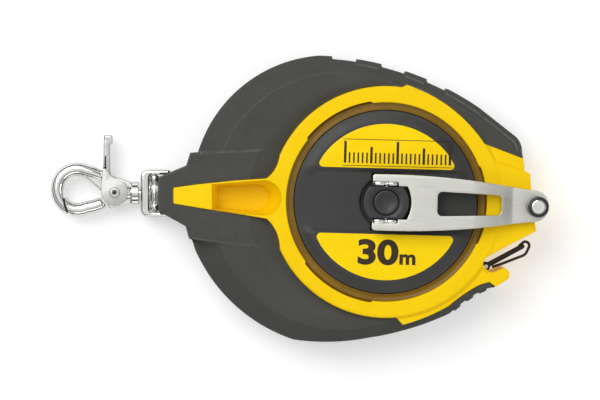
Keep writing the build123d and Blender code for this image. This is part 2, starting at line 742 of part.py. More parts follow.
def make_hook():
    """The fixed half of the snap hook with its swivel stem, and the rivet of the trigger."""
    arc = rod(
        RING_WIRE,
        ThreePointArc(ring_point(242), ring_point(150), ring_point(68)),
        Line(ring_point(68), (-171.6, 15.0, BLADE_Z)),
    )
    arc -= disc(GATE_REACH, 0, 20, *PIVOT) & block(-200, -170, -20, 6.8, 0, 20)
    plate = outline(
        (-173.0, 18.6), (-164.6, 15.2), (-157.0, 10.6), (-157.0, -1.2), (-162.0, -2.4), (-168.6, 0.4),
        (-170.6, 5.2), (-172.6, 11.6)
    )
    frame = slab(fillet(plate.vertices(), 1.2), BLADE_Z - 3.0, BLADE_Z + 3.0)
    stem = turned([(-158.6, 6.2), (-156.8, 6.4), (-152.6, 4.6)])
    stem &= block(-160, -140, -20, 20, BLADE_Z - 3.1, BLADE_Z + 3.1)
    stem += turned([(-154.4, 5.0), (-152.6, 4.6)])
    neck = turned([(-148.4, 2.6), (-144.0, 2.6), (-144.0, 4.7), (-142.2, 4.7), (-142.2, 0.4)])
    collar = turned([(-152.6, 6.2), (-152.2, 6.8), (-148.8, 6.8), (-148.4, 6.2)])
    hook = arc + frame + stem + neck + collar
    hook -= disc(1.92, 0, 20, *PIVOT) + disc(3.9, BLADE_Z + 1.4, 20, *PIVOT)
    rivet = disc(1.9, BLADE_Z - 5.9, BLADE_Z + 5.9, *PIVOT)
    for low in (BLADE_Z - 6.0, BLADE_Z + 5.2):
        rivet += disc(3.2, low, low + 0.8, *PIVOT)
    rivet -= disc(0.9, BLADE_Z + 5.3, 30, *PIVOT)
    return hook, rivet


def make_trigger():
    """Two cheeks joined by the thumb lever and the moving lower arc of the ring."""
    x, y = PIVOT
    cheek = outline(
        (-169.8, 20.6),
        (-169.8, 7.0),
        (-172.6, 0.6),
        (-174.6, -5.0),
        (-167.0, -5.6),
        (-163.0, -3.0),
        (-163.0, 13.4),
        ((-165.4, 14.8), (-166.3, 17.4)),
        (-166.3, 20.6),
    )
    cheek += Pos(x, y) * Circle(8.2)
    slices = slab(cheek, BLADE_Z + 3.3, BLADE_Z + 5.1) + slab(cheek, BLADE_Z - 5.1, BLADE_Z - 3.3)
    lever = block(-169.8, -166.3, 20.4, 39.8, BLADE_Z - 5.1, BLADE_Z + 5.1)
    head = block(-169.4, -164.6, 35.0, 39.8, BLADE_Z - 5.1, BLADE_Z + 5.1)
    lever += fillet(head.edges().filter_by(Axis.Z), 0.9)
    gate = rod(
        RING_WIRE,
        ThreePointArc(ring_point(222), ring_point(262), ring_point(296)),
        Line(ring_point(296), (-172.8, -1.6, BLADE_Z)),
    )
    gate &= tube(GATE_REACH - GATE_GAP, 10.2, 0, 30, x, y)
    return slices + lever + gate - disc(1.9 + FIT, 0, 30, x, y)


# ---------------------------------------------------------------- files
bar, wire = make_clip()
save("clip_bar", bar)
save("clip_wire", wire)
save("blade_lead", make_blade_lead())
save("guide_roller", make_roller())

hub, flange, rear_flange, anchor, coil = make_reel()
save("reel_hub", hub)
save("reel_front_flange", flange)
save("reel_rear_flange", rear_flange)
save("blade_anchor", anchor)
save("tape_coil", coil)

save("ring_gear", make_ring_gear())
hexagon_bore = slab(RegularPolygon(radius=5.75, side_count=6), 0, 40)
save("sun_gear", spur_gear(SUN_TEETH, hexagon_bore))
for n, planet in enumerate(make_planets()):
    save(f"planet_gear_{n + 1}", planet)

hub_block, hub_button = make_hub()
save("dial", make_dial())
save("planet_pins", make_planet_pins())
save("hub_block", hub_block)
save("hub_button", hub_button)
save("hinge_pins", make_hinge_pins())
save("button_spring", Pos(0, 0, 34.8) * coil_spring(3.5, 0.35, 0.95, 3.6))
save("upper_label", parked(slab(d_label(20.1, 46.6, 1), DIAL_TOP_Z, DIAL_TOP_Z + 0.3)))
save("lower_label", parked(slab(d_label(19.2, 46.6, -1), DIAL_TOP_Z, DIAL_TOP_Z + 0.3)))

knob, knob_rivet = make_knob()
save("crank_arm", make_crank())
save("crank_knob", knob)
save("knob_rivet", knob_rivet)

blade_end, end_barrel, bail, end_pin = make_blade_end()
save("blade_end", blade_end)
save("end_barrel", end_barrel)
save("end_bail", bail)
save("end_pin", end_pin)

hook, trigger_rivet = make_hook()
save("hook_body", hook)
save("trigger_rivet", trigger_rivet)
save("snap_trigger", make_trigger())
trigger_spring = coil_spring(2.9, 0.3, 0.7, 1.2)
save("trigger_spring", Pos(*PIVOT, BLADE_Z + 1.8) * trigger_spring)
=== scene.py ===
import json
import math

import bmesh
import bpy
import numpy as np
from mathutils import Matrix, Vector
from mathutils.geometry import delaunay_2d_cdt
from mathutils.kdtree import KDTree


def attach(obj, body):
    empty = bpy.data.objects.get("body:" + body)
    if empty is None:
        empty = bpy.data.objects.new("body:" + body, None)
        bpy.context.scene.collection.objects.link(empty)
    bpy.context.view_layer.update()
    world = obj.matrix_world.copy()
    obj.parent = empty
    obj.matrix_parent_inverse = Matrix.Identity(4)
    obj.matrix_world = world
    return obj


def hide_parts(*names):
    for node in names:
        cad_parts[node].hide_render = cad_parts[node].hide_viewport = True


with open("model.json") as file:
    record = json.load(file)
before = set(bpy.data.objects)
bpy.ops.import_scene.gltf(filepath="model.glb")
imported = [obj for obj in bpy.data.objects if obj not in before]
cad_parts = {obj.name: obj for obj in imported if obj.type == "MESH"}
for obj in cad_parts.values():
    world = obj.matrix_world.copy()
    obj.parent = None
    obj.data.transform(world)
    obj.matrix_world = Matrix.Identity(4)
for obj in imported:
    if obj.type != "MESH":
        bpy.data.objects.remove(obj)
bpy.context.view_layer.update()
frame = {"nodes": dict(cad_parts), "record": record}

MM = 0.001
REST_TURN = math.radians(-1.5)
PARTING_Z = 19.5
BODY_Z = 36.0
BLADE_Z = 9.55
MOUTH_Y = 4.7
HINGE_Z = 43.5
GAP = 0.09  # half the seam between two mouldings
RIM_STEPS = 4  # facets round a rolled rim
AXIS = 0.0001  # radius a turned profile ends at, just off its axis


# ------------------------------------------------------------------ outlines, millimetres
def arc_points(a, b, c, spacing):
    """Points after a, along the arc from a through b to c."""
    (ax, ay), (bx, by), (cx, cy) = a, b, c
    d = 2 * (ax * (by - cy) + bx * (cy - ay) + cx * (ay - by))
    aa, bb, cc = ax * ax + ay * ay, bx * bx + by * by, cx * cx + cy * cy
    ux = (aa * (by - cy) + bb * (cy - ay) + cc * (ay - by)) / d
    uy = (aa * (cx - bx) + bb * (ax - cx) + cc * (bx - ax)) / d
    radius = math.hypot(ax - ux, ay - uy)
    start = math.atan2(ay - uy, ax - ux)
    middle = (math.atan2(by - uy, bx - ux) - start) % math.tau
    turn = (math.atan2(cy - uy, cx - ux) - start) % math.tau
    if middle > turn:
        turn -= math.tau
    count = max(2, math.ceil(abs(turn) * radius / spacing))
    angles = [start + turn * k / count for k in range(1, count + 1)]
    return [(ux + radius * math.cos(t), uy + radius * math.sin(t)) for t in angles]


def path(start, *steps, spacing=1):
    """An open run of points. A step is the next corner, or (through, end) for an arc."""
    points = [start]
    for step in steps:
        here = points[-1]
        if isinstance(step[0], tuple):
            points += arc_points(here, step[0], step[1], spacing)
            continue
        count = max(1, math.ceil(math.dist(here, step) / spacing))
        for k in range(1, count + 1):
            t = k / count
            points.append((here[0] + (step[0] - here[0]) * t, here[1] + (step[1] - here[1]) * t))
    return np.array(points)


def closed(start, *steps, spacing=1):
    return path(start, *steps, start, spacing=spacing)[:-1]


def circle(x, y, radius, spacing=1):
    count = max(16, math.ceil(math.tau * radius / spacing))
    turns = np.arange(count) / count * math.tau
    return np.column_stack([x + radius * np.cos(turns), y + radius * np.sin(turns)])


def rounded(corners, radius, steps=5):
    """A closed outline with every corner swung round; a corner may carry its own radius."""
    points = []
    count = len(corners)
    for n in range(count):
        here = np.array(corners[n][:2], float)
        before = np.array(corners[n - 1][:2], float) - here
        after = np.array(corners[(n + 1) % count][:2], float) - here
        size = corners[n][2] if len(corners[n]) > 2 else radius
        a = before / np.linalg.norm(before)
        b = after / np.linalg.norm(after)
        half = math.acos(max(-1, min(1, float(a @ b)))) / 2
        if size < 1e-4 or half > math.pi / 2 - 0.02:
            points.append(tuple(here))
            continue
        reach = size / math.tan(half)
        reach = min(reach, 0.48 * np.linalg.norm(before), 0.48 * np.linalg.norm(after))
        size = reach * math.tan(half)
        centre = here + (a + b) / np.linalg.norm(a + b) * size / math.sin(half)
        first = here + a * reach - centre
        last = here + b * reach - centre
        sweep = math.pi - 2 * half
        turn = sweep if first[0] * last[1] - first[1] * last[0] > 0 else -sweep
        for k in range(steps + 1):
            t = turn * k / steps
            c, s = math.cos(t), math.sin(t)
            points.append((centre[0] + first[0] * c - first[1] * s, centre[1] + first[0] * s + first[1] * c))
    return np.array(points)


def area(loop):
    x, y = loop[:, 0], loop[:, 1]
    return 0.5 * float(np.sum(x * np.roll(y, -1) - np.roll(x, -1) * y))


def facing(loop, sign):
    return loop if area(loop) * sign > 0 else loop[::-1]


def shrink(loop, amount):
    """Moves a loop to its left, inwards when it runs anticlockwise, by one amount or one a point."""
    a = loop - np.roll(loop, 1, 0)
    b = np.roll(loop, -1, 0) - loop
    a = a / np.linalg.norm(a, axis=1)[:, None]
    b = b / np.linalg.norm(b, axis=1)[:, None]
    na = np.column_stack([-a[:, 1], a[:, 0]])
    nb = np.column_stack([-b[:, 1], b[:, 0]])
    spread = np.maximum(1 + np.sum(na * nb, axis=1), 0.35)
    return loop + (na + nb) / spread[:, None] * np.reshape(amount, (-1, 1))


def inside(points, loops):
    """Even-odd test against closed loops."""
    hit = np.zeros(len(points), bool)
    for loop in loops:
        x0, y0 = loop[:, 0], loop[:, 1]
        x1, y1 = np.roll(x0, -1), np.roll(y0, -1)
        for low in range(0, len(points), 4000):
            px = points[low : low + 4000, 0][:, None]
            py = points[low : low + 4000, 1][:, None]
            spans = (y0 > py) != (y1 > py)
            rise = np.where(y1 == y0, 1e-12, y1 - y0)
            crosses = spans & (px < (x1 - x0) * (py - y0) / rise + x0)
            hit[low : low + 4000] ^= (np.sum(crosses, axis=1) % 2).astype(bool)
    return hit


def reach(points, line, is_closed=True):
    """Distance of each point from a run of points."""
    a = line if is_closed else line[:-1]
    b = np.roll(line, -1, 0) if is_closed else line[1:]
    d = b - a
    length = np.maximum(np.sum(d * d, axis=1), 1e-12)
    best = np.full(len(points), 1e9)
    for low in range(0, len(points), 2000):
        p = points[low : low + 2000]
        t = np.clip(((p[:, None, :] - a) * d).sum(2) / length, 0, 1)
        near = a + d * t[:, :, None]
        best[low : low + 2000] = np.sqrt(((p[:, None, :] - near) ** 2).sum(2)).min(1)
    return best


def smooth(value, low, high):
    """0 below low, 1 above high, easing between."""
    t = np.clip((value - low) / (high - low), 0, 1)
    return t * t * (3 - 2 * t)


# ------------------------------------------------------------------ meshes
def fill(rings, spacing, creases):
    """Triangles over the area inside the rings, with grid points and crease lines in it."""
    coords = []
    edges = []
    for ring in rings:
        first = len(coords)
        coords += [tuple(p) for p in ring]
        edges += [(first + k, first + (k + 1) % len(ring)) for k in range(len(ring))]
    for line in creases:
        keep = inside(line, rings)
        first = len(coords)
        coords += [tuple(p) for p in line]
        edges += [(first + k, first + k + 1) for k in range(len(line) - 1) if keep[k] and keep[k + 1]]
    everything = np.array(coords)
    low = everything.min(0)
    high = everything.max(0)
    xs = np.arange(low[0], high[0], spacing)
    ys = np.arange(low[1], high[1], spacing)
    gx, gy = np.meshgrid(xs, ys)
    gx[1::2] += spacing / 2
    grid = np.column_stack([gx.ravel(), gy.ravel()])
    grid = grid[inside(grid, rings)]
    tree = KDTree(len(everything))
    for n, (x, y) in enumerate(everything):
        tree.insert((x, y, 0), n)
    tree.balance()
    far = [p for p in grid if tree.find((p[0], p[1], 0))[2] > 0.62 * spacing]
    used = sorted({k for edge in edges for k in edge})
    number = {k: n for n, k in enumerate(used)}
    points = [Vector(coords[k]) for k in used] + [Vector((float(p[0]), float(p[1]))) for p in far]
    lines = [(number[a], number[b]) for a, b in edges]
    out, _, faces, _, _, _ = delaunay_2d_cdt(points, lines, [], 0, 1e-6)
    flat = np.array([tuple(v) for v in out])
    triangles = np.array([f for f in faces if len(f) == 3])
    keep = inside(flat[triangles].mean(1), rings)
    return flat, triangles[keep]


def finish_mesh(name, verts, faces, material, angle=38):
    """A welded, smooth-shaded object from millimetre points."""
    mesh = bpy.data.meshes.new(name)
    mesh.from_pydata([(x * MM, y * MM, z * MM) for x, y, z in verts], [], [list(f) for f in faces])
    build = bmesh.new()
    build.from_mesh(mesh)
    bmesh.ops.remove_doubles(build, verts=build.verts, dist=2e-7)
    bmesh.ops.dissolve_degenerate(build, edges=build.edges, dist=1e-7)
    bmesh.ops.recalc_face_normals(build, faces=build.faces)
    build.to_mesh(mesh)
    build.free()
    made = bpy.data.objects.new(name, mesh)
    bpy.context.scene.collection.objects.link(made)
    mesh.shade_smooth()
    mesh.set_sharp_from_angle(angle=math.radians(angle))
    mesh.materials.append(MATERIALS[material])
    return made


def level(height):
    return lambda points: np.full(len(points), float(height))


def moulding(outer, holes, top, under, edge, low_edge, spacing=1.2, creases=(), low_creases=()):
    """Points and faces of a closed solid between two surfaces, with rolled rims."""
    loops = [facing(np.array(outer), 1)] + [facing(np.array(h), -1) for h in holes]
    verts = []
    faces = []
    top_rims = []
    low_rims = []
    for loop in loops:
        rows = []
        for k in range(RIM_STEPS + 1):
            t = math.pi / 2 * (1 - k / RIM_STEPS)
            ring = shrink(loop, low_edge * (1 - math.cos(t)))
            rows.append((ring, under(ring) + low_edge * (1 - math.sin(t))))
        low_rims.append(rows[0][0])
        for k in range(RIM_STEPS + 1):
            t = math.pi / 2 * k / RIM_STEPS
            rim = edge(loop) if callable(edge) else edge
            ring = shrink(loop, rim * (1 - math.cos(t)))
            rows.append((ring, top(ring) - rim * (1 - math.sin(t))))
        top_rims.append(rows[-1][0])
        count = len(loop)
        first = len(verts)
        for ring, heights in rows:
            verts += [(p[0], p[1], z) for p, z in zip(ring, heights)]
        for row in range(len(rows) - 1):
            for k in range(count):
                a = first + row * count + k
                b = first + row * count + (k + 1) % count
                faces.append((a, b, b + count, a + count))
    for rims, surface, lines, flip in ((top_rims, top, creases, False), (low_rims, under, low_creases, True)):
        flat, triangles = fill(rims, spacing, lines)
        heights = surface(flat)
        first = len(verts)
        verts += [(p[0], p[1], z) for p, z in zip(flat, heights)]
        for tri in triangles:
            tri = [first + int(k) for k in tri]
            faces.append(tri[::-1] if flip else tri)
    return verts, faces


def prism(outer, low, high, edge, holes=(), spacing=40, low_edge=None):
    """A straight block from a flat outline, with rolled rims."""
    bottom = edge if low_edge is None else low_edge
    return moulding(outer, holes, level(high), level(low), edge, bottom, spacing)


def lathe(profile, x=0, y=0, count=96, is_closed=True):
    """A ring turned about the upright axis through (x, y) from (radius, z) points."""
    verts = []
    faces = []
    size = len(profile)
    for n in range(count):
        c, s = math.cos(math.tau * n / count), math.sin(math.tau * n / count)
        verts += [(x + r * c, y + r * s, z) for r, z in profile]
    for n in range(count):
        here, there = n * size, (n + 1) % count * size
        for k in range(size if is_closed else size - 1):
            up = (k + 1) % size
            faces.append((here + k, there + k, there + up, here + up))
    return verts, faces


def tube(points, radii, sides):
    """Round wire along 3-D points, domed at both ends."""
    points = [Vector(p) for p in points]
    verts = []
    faces = []
    frames = []
    side = None
    for k, here in enumerate(points):
        ahead = points[min(k + 1, len(points) - 1)] - points[max(k - 1, 0)]
        ahead.normalize()
        if side is None:
            side = Vector((0, 0, 1)).cross(ahead)
            if side.length < 0.1:
                side = Vector((1, 0, 0)).cross(ahead)
        side = (side - ahead * side.dot(ahead)).normalized()
        frames.append((here, ahead, side.copy(), ahead.cross(side)))
    rows = []
    domes = [(math.sin(t), math.cos(t)) for t in (math.radians(a) for a in (8, 30, 55, 75))]
    here, ahead, a, b = frames[0]
    rows += [(here - ahead * radii[0] * back, radii[0] * wide, a, b) for wide, back in domes]
    rows += [(f[0], r, f[2], f[3]) for f, r in zip(frames, radii)]
    here, ahead, a, b = frames[-1]
    rows += [(here + ahead * radii[-1] * back, radii[-1] * wide, a, b) for wide, back in domes[::-1]]
    for centre, radius, a, b in rows:
        for n in range(sides):
            c, s = math.cos(math.tau * n / sides), math.sin(math.tau * n / sides)
            verts.append(tuple(centre + a * radius * c + b * radius * s))
    for row in range(len(rows) - 1):
        for n in range(sides):
            p, q = row * sides + n, row * sides + (n + 1) % sides
            faces.append((p, q, q + sides, p + sides))
    faces.append(tuple(range(sides))[::-1])
    faces.append(tuple(range(len(verts) - sides, len(verts))))
    return verts, faces


def turned(shape, angle):
    """A shape turned about the reel axis."""
    verts, faces = shape
    matrix = Matrix.Rotation(angle, 4, "Z")
    return [tuple(matrix @ Vector(v)) for v in verts], faces


def joined(*shapes):
    verts = []
    faces = []
    for shape_verts, shape_faces in shapes:
        first = len(verts)
        verts += shape_verts
        faces += [tuple(first + k for k in f) for f in shape_faces]
    return verts, faces


def piece(name, body, nodes, slot, *shapes, angle=38, turn=0, material=None):
    """One visual piece that stands for CAD nodes, rides their body and wears the slot's material."""
    verts, faces = joined(*shapes)
    if turn:
        verts, faces = turned((verts, faces), turn)
    made = finish_mesh(name, verts, faces, material or slot, angle)
    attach(made, body)
    if nodes:
        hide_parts(*nodes)
    return made


# ------------------------------------------------------------------ materials
class Look:
    """A material's node tree, with short calls for the nodes used here."""

    def __init__(self, name):
        self.material = bpy.data.materials.new(name)
        self.material.use_nodes = True
        self.tree = self.material.node_tree
        self.shader = self.tree.nodes["Principled BSDF"]
        self.place = self.node("TexCoord").outputs["Object"]

    def node(self, kind, **values):
        made = self.tree.nodes.new("ShaderNode" + kind)
        for name, value in values.items():
            setattr(made, name, value)
        return made

    def put(self, socket, value):
        if isinstance(value, (int, float)):
            socket.default_value = value
        elif isinstance(value, tuple):
            socket.default_value = (*value, 1) if len(socket.default_value) == 4 else value
        else:
            self.tree.links.new(value, socket)

    def stretched(self, x, y, z, turn=0):
        made = self.node("Mapping")
        made.inputs["Scale"].default_value = (x, y, z)
        made.inputs["Rotation"].default_value = (0, 0, turn)
        self.put(made.inputs["Vector"], self.place)
        return made.outputs["Vector"]

    def noise(self, scale, detail=3, rough=0.55, place=None):
        made = self.node("TexNoise")
        self.put(made.inputs["Scale"], scale)
        self.put(made.inputs["Detail"], detail)
        self.put(made.inputs["Roughness"], rough)
        self.put(made.inputs["Vector"], place or self.place)
        return made.outputs["Fac"]

    def span(self, value, low, high, to_low, to_high):
        made = self.node("MapRange")
        for name, number in zip(
            ("Value", "From Min", "From Max", "To Min", "To Max"), (value, low, high, to_low, to_high)
        ):
            self.put(made.inputs[name], number)
        return made.outputs["Result"]

    def blend(self, factor, a, b):
        made = self.node("Mix", data_type="RGBA")
        self.put(made.inputs["Factor"], factor)
        self.put(made.inputs[6], a)
        self.put(made.inputs[7], b)
        return made.outputs[2]

    def maths(self, how, a, b=0):
        made = self.node("Math", operation=how)
        self.put(made.inputs[0], a)
        self.put(made.inputs[1], b)
        return made.outputs[0]

    def soft_normal(self, radius):
        made = self.node("Bevel", samples=4)
        self.put(made.inputs["Radius"], radius)
        return made.outputs[0]

    def edges(self, radius, full=0.75):
        """1 along edges and 0 on flats, from how far a rounded normal leans."""
        dot = self.node("VectorMath", operation="DOT_PRODUCT")
        self.put(dot.inputs[0], self.soft_normal(radius))
        self.put(dot.inputs[1], self.node("NewGeometry").outputs["Normal"])
        return self.span(dot.outputs["Value"], 0.995, full, 0, 1)

    def bump(self, height, strength, distance, soften=0, under=None):
        made = self.node("Bump")
        self.put(made.inputs["Strength"], strength)
        self.put(made.inputs["Distance"], distance)
        self.put(made.inputs["Height"], height)
        if soften:
            self.put(made.inputs["Normal"], self.soft_normal(soften))
        if under is not None:
            self.put(made.inputs["Normal"], under)
        return made.outputs[0]

    def set(self, **values):
        for name, value in values.items():
            self.put(self.shader.inputs[name.replace("_", " ")], value)


def moulded_plastic(name, base, shade, scuff_and_highlight, rough, grain, level):
    """Injection moulding: cloudy colour, spark-eroded grain, fine scratches, and edges painted paler, partly
    as rubbed wear and partly as painted highlight.
    """
    m = Look(name)
    cloud = m.span(m.noise(45, 4), 0.32, 0.68, 0, 1)
    colour = m.blend(cloud, base, shade)
    # edges painted paler: partly rubbed wear, partly a painted highlight along edges and creases
    rubbed_and_highlit = m.maths("MULTIPLY", m.edges(0.0005), m.span(m.noise(260, 4), 0.42, 0.6, 0, 0.6))
    colour = m.blend(rubbed_and_highlit, colour, scuff_and_highlight)
    scratches = m.noise(60, 2, 0.6, m.stretched(1, 26, 6, 0.6))
    colour = m.blend(m.span(scratches, 0.68, 0.74, 0, 0.10), colour, scuff_and_highlight)
    low, high = rough
    sheen = m.span(m.noise(120, 5, 0.65), 0.3, 0.7, low, high)
    m.set(Base_Color=colour, Roughness=m.maths("ADD", sheen, m.maths("MULTIPLY", rubbed_and_highlit, 0.12)))
    m.set(Specular_IOR_Level=level)
    size, depth = grain
    ripple = m.bump(m.noise(30, 1), 0.25, 0.0002, soften=0.0003)
    m.set(Normal=m.bump(m.noise(size, 2, 0.6), depth, 0.00008, under=ripple))
    return m.material


def speckled_rubber(name):
    """Soft grip: fine stipple with pale specks, matt, paler on the edges, partly dust and partly painted
    highlight.
    """
    m = Look(name)
    cloud = m.span(m.noise(26, 4), 0.3, 0.7, 0, 1)
    colour = m.blend(cloud, (0.046, 0.046, 0.042), (0.055, 0.055, 0.050))
    stipple = m.noise(1500, 3, 0.7)
    colour = m.blend(m.span(stipple, 0.5, 0.74, 0, 0.30), colour, (0.14, 0.14, 0.128))
    # edges painted paler: partly dust, partly painted highlight on edges and steps
    dust_and_highlight = m.maths("MULTIPLY", m.edges(0.0012, 0.965), m.span(m.noise(180, 4), 0.35, 0.6, 0.3, 0.8))
    colour = m.blend(dust_and_highlight, colour, (0.17, 0.17, 0.16))
    m.set(Base_Color=colour, Roughness=m.span(m.noise(200, 4), 0.3, 0.7, 0.58, 0.76))
    m.set(Specular_IOR_Level=0.26)
    ripple = m.bump(m.noise(40, 2), 0.2, 0.0002, soften=0.0003)
    m.set(Normal=m.bump(stipple, 0.35, 0.00009, under=ripple))
    return m.material


def metal(name, base, shade, rough, along, turn, grain, depth, rim):
    """Bare or plated metal with drawn grain, smudges and a tint on its reflection at grazing angles."""
    m = Look(name)
    streaks = m.noise(grain, 4, 0.65, m.stretched(*along, turn))
    smudge = m.noise(70, 4, 0.6)
    colour = m.blend(m.span(streaks, 0.3, 0.7, 0, 1), base, shade)
    low, high = rough
    sheen = m.span(smudge, 0.3, 0.7, low, high)
    sheen = m.maths("ADD", sheen, m.span(streaks, 0.3, 0.7, -0.04, 0.05))
    m.set(Base_Color=colour, Metallic=1, Roughness=sheen, Specular_Tint=rim)
    m.set(Normal=m.bump(streaks, depth, 0.00003, soften=0.0002))
    return m.material


def printed_film():
    """Label stock: satin yellow film with a slight orange-peel."""
    m = Look("label")
    colour = m.blend(
        m.span(m.noise(50, 3), 0.3, 0.7, 0, 1), (0.89, 0.605, 0.0016), (0.93, 0.65, 0.0024)
    )
    m.set(Specular_IOR_Level=0.10)
    m.set(Base_Color=colour, Roughness=m.span(m.noise(140, 4), 0.3, 0.7, 0.26, 0.38))
    m.set(Normal=m.bump(m.noise(900, 2), 0.1, 0.00004))
    return m.material


def printed_ink():
    m = Look("label_ink")
    patch = m.span(m.noise(500, 3), 0.35, 0.65, 0, 1)
    m.set(Base_Color=m.blend(patch, (0.032, 0.021, 0.012), (0.046, 0.031, 0.018)))
    m.set(Roughness=m.span(m.noise(300, 3), 0.3, 0.7, 0.34, 0.5), Specular_IOR_Level=0.15)
    m.set(Normal=m.bump(m.noise(1400, 2), 0.12, 0.00003))
    return m.material


def blade_steel():
    """Lacquered blade: cream ground, millimetre ticks along its run, worn lacquer."""
    m = Look("blade_steel")
    split = m.node("SeparateXYZ")
    m.put(split.inputs[0], m.place)
    along = split.outputs["X"]
    fine = m.maths("LESS_THAN", m.maths("PINGPONG", m.maths("MULTIPLY", along, 1000), 0.5), 0.1)
    bold = m.maths("LESS_THAN", m.maths("PINGPONG", m.maths("MULTIPLY", along, 200), 0.5), 0.06)
    low = m.maths("LESS_THAN", split.outputs["Z"], 0.0068)
    lower = m.maths("LESS_THAN", split.outputs["Z"], 0.0084)
    ticks = m.maths("MAXIMUM", m.maths("MULTIPLY", fine, low), m.maths("MULTIPLY", bold, lower))
    ground = m.blend(m.span(m.noise(80, 4), 0.3, 0.7, 0, 1), (0.78, 0.77, 0.70), (0.86, 0.85, 0.79))
    colour = m.blend(ticks, ground, (0.02, 0.02, 0.02))
    worn = m.span(m.noise(700, 5, 0.7), 0.62, 0.7, 0, 0.8)
    colour = m.blend(worn, colour, (0.5, 0.5, 0.5))
    m.set(Base_Color=colour, Metallic=m.maths("MULTIPLY", worn, 0.9))
    m.set(Roughness=m.span(m.noise(150, 4), 0.3, 0.7, 0.28, 0.42))
    m.set(Normal=m.bump(m.noise(1200, 2), 0.1, 0.00004))
    return m.material


def pale_ground():
    m = Look("pale_ground")
    tone = m.span(m.noise(9, 4), 0.3, 0.7, 0, 1)
    m.set(Base_Color=m.blend(tone, (0.70, 0.70, 0.70), (0.73, 0.73, 0.73)), Roughness=0.8)
    m.set(Specular_IOR_Level=0.1)
    m.set(Normal=m.bump(m.noise(300, 3), 0.05, 0.0002))
    m.set(Emission_Color=(1, 1, 1), Emission_Strength=0.36)
    return m.material


# name: colour, its cloudy shade, colour of the scratches and of the paler edges (rubbed wear and painted
# highlight), roughness, grain (size, depth), specular level
PLASTICS = {
    "yellow_plastic": ((0.87, 0.565, 0.0016), (0.91, 0.612, 0.0024), (0.92, 0.7, 0.04), (0.34, 0.46),
        (2200, 0.18), 0.09),
    "dark_plastic": ((0.036, 0.036, 0.035), (0.044, 0.044, 0.043), (0.14, 0.14, 0.135), (0.36, 0.48),
        (1800, 0.22), 0.26),
    "hub_black": ((0.024, 0.024, 0.025), (0.031, 0.031, 0.032), (0.11, 0.11, 0.11), (0.3, 0.4),
        (1500, 0.2), 0.4),
    # amber_ring: dark amber-brown painted shade, standing for the shadowed gap between the dial and the bezel
    "amber_ring": ((0.185, 0.1, 0.01), (0.235, 0.135, 0.016), (0.4, 0.28, 0.08), (0.3, 0.42), (900, 0.08),
        0.25),
    "reel_plastic": ((0.03, 0.03, 0.032), (0.042, 0.042, 0.044), (0.12, 0.12, 0.12), (0.4, 0.52),
        (1500, 0.2), 0.5),
    "gear_plastic": ((0.74, 0.73, 0.68), (0.8, 0.79, 0.74), (0.62, 0.61, 0.57), (0.32, 0.44),
        (1500, 0.12), 0.5),
    "black_wire": ((0.01, 0.009, 0.009), (0.016, 0.015, 0.015), (0.12, 0.11, 0.1), (0.26, 0.4),
        (1800, 0.15), 0.3),
    "knob_plastic": ((0.014, 0.014, 0.015), (0.022, 0.022, 0.023), (0.12, 0.12, 0.12), (0.22, 0.34),
        (1600, 0.12), 0.5),
}
# name: colour, streaks, roughness, then the way, turn, size and depth of the grain, and the tint at the rim
METALS = {
    "crank_steel": ((0.635, 0.635, 0.58), (0.715, 0.715, 0.655), (0.34, 0.44), (0.05, 1, 1), 0.026,
        1300, 0.2, (0.7, 0.7, 0.7)),
    "chrome": ((0.77, 0.77, 0.75), (0.83, 0.83, 0.81), (0.06, 0.14), (1, 1, 1), 0, 260, 0.06,
        (0.35, 0.35, 0.34)),
    "satin_chrome": ((0.5, 0.5, 0.47), (0.57, 0.57, 0.54), (0.3, 0.42), (1, 1, 1), 0, 420, 0.1,
        (0.7, 0.7, 0.7)),
    "steel": ((0.52, 0.52, 0.51), (0.62, 0.62, 0.6), (0.24, 0.36), (1, 1, 0.1), 0, 1600, 0.12,
        (0.7, 0.7, 0.7)),
}
MATERIALS = {name: moulded_plastic(name, *numbers) for name, numbers in PLASTICS.items()}
MATERIALS.update({name: metal(name, *numbers) for name, numbers in METALS.items()})
MATERIALS.update({
    "dark_grip": speckled_rubber("dark_grip"),
    "label": printed_film(),
    "label_ink": printed_ink(),
    "blade_steel": blade_steel(),
})


# ------------------------------------------------------------------ case outlines
# the edge between yellow and dark, from the lower lobe round the ring and nose to the upper lobe
COLOUR_EDGE = path(
    (65.8, -50.7), (61.8, -47.9), ((57, -49.2), (52.2, -51.6)), ((44.8, -56.4), (37.8, -62)),
    ((24.4, -68.6), (10.2, -73.4)), (6.2, -68.9), ((-26, -64.1), (-63.3, -28)),
    ((-66.8, -15), (-71, -10)), (-90, -6.8), (-111.6, -3.5), (-125.4, -1.2),
    ((-126.5, -0.7), (-126.7, 0.4)), (-126.7, 7.2), ((-126.4, 8.4), (-125.2, 8.8)), (-111.6, 10.7),
    (-90, 12.9), (-71, 14.2), ((-66.8, 18.6), (-63.3, 28)), ((-9, 68.6), (9.5, 68.5)), (12.6, 69.9),
    ((38.6, 56.2), (58.8, 34.8)), (82.06, 25.9), spacing=0.9
)
RIGHT_EDGE = path(
    (82.06, 25.9), (82.8, 18.6), (85.9, 17), ((87.5, 0), (89.7, -17.4)), (74.8, -25.1), (60.4, -32.8),
    ((58.2, -36.8), (60.4, -40.2)), ((63.6, -41.9), (66.2, -41.2)), (69.4, -39.7),
    ((72.7, -40.3), (73.9, -43.2)), ((73.6, -45.2), (72.3, -46.6)), (65.8, -50.7), spacing=0.9
)
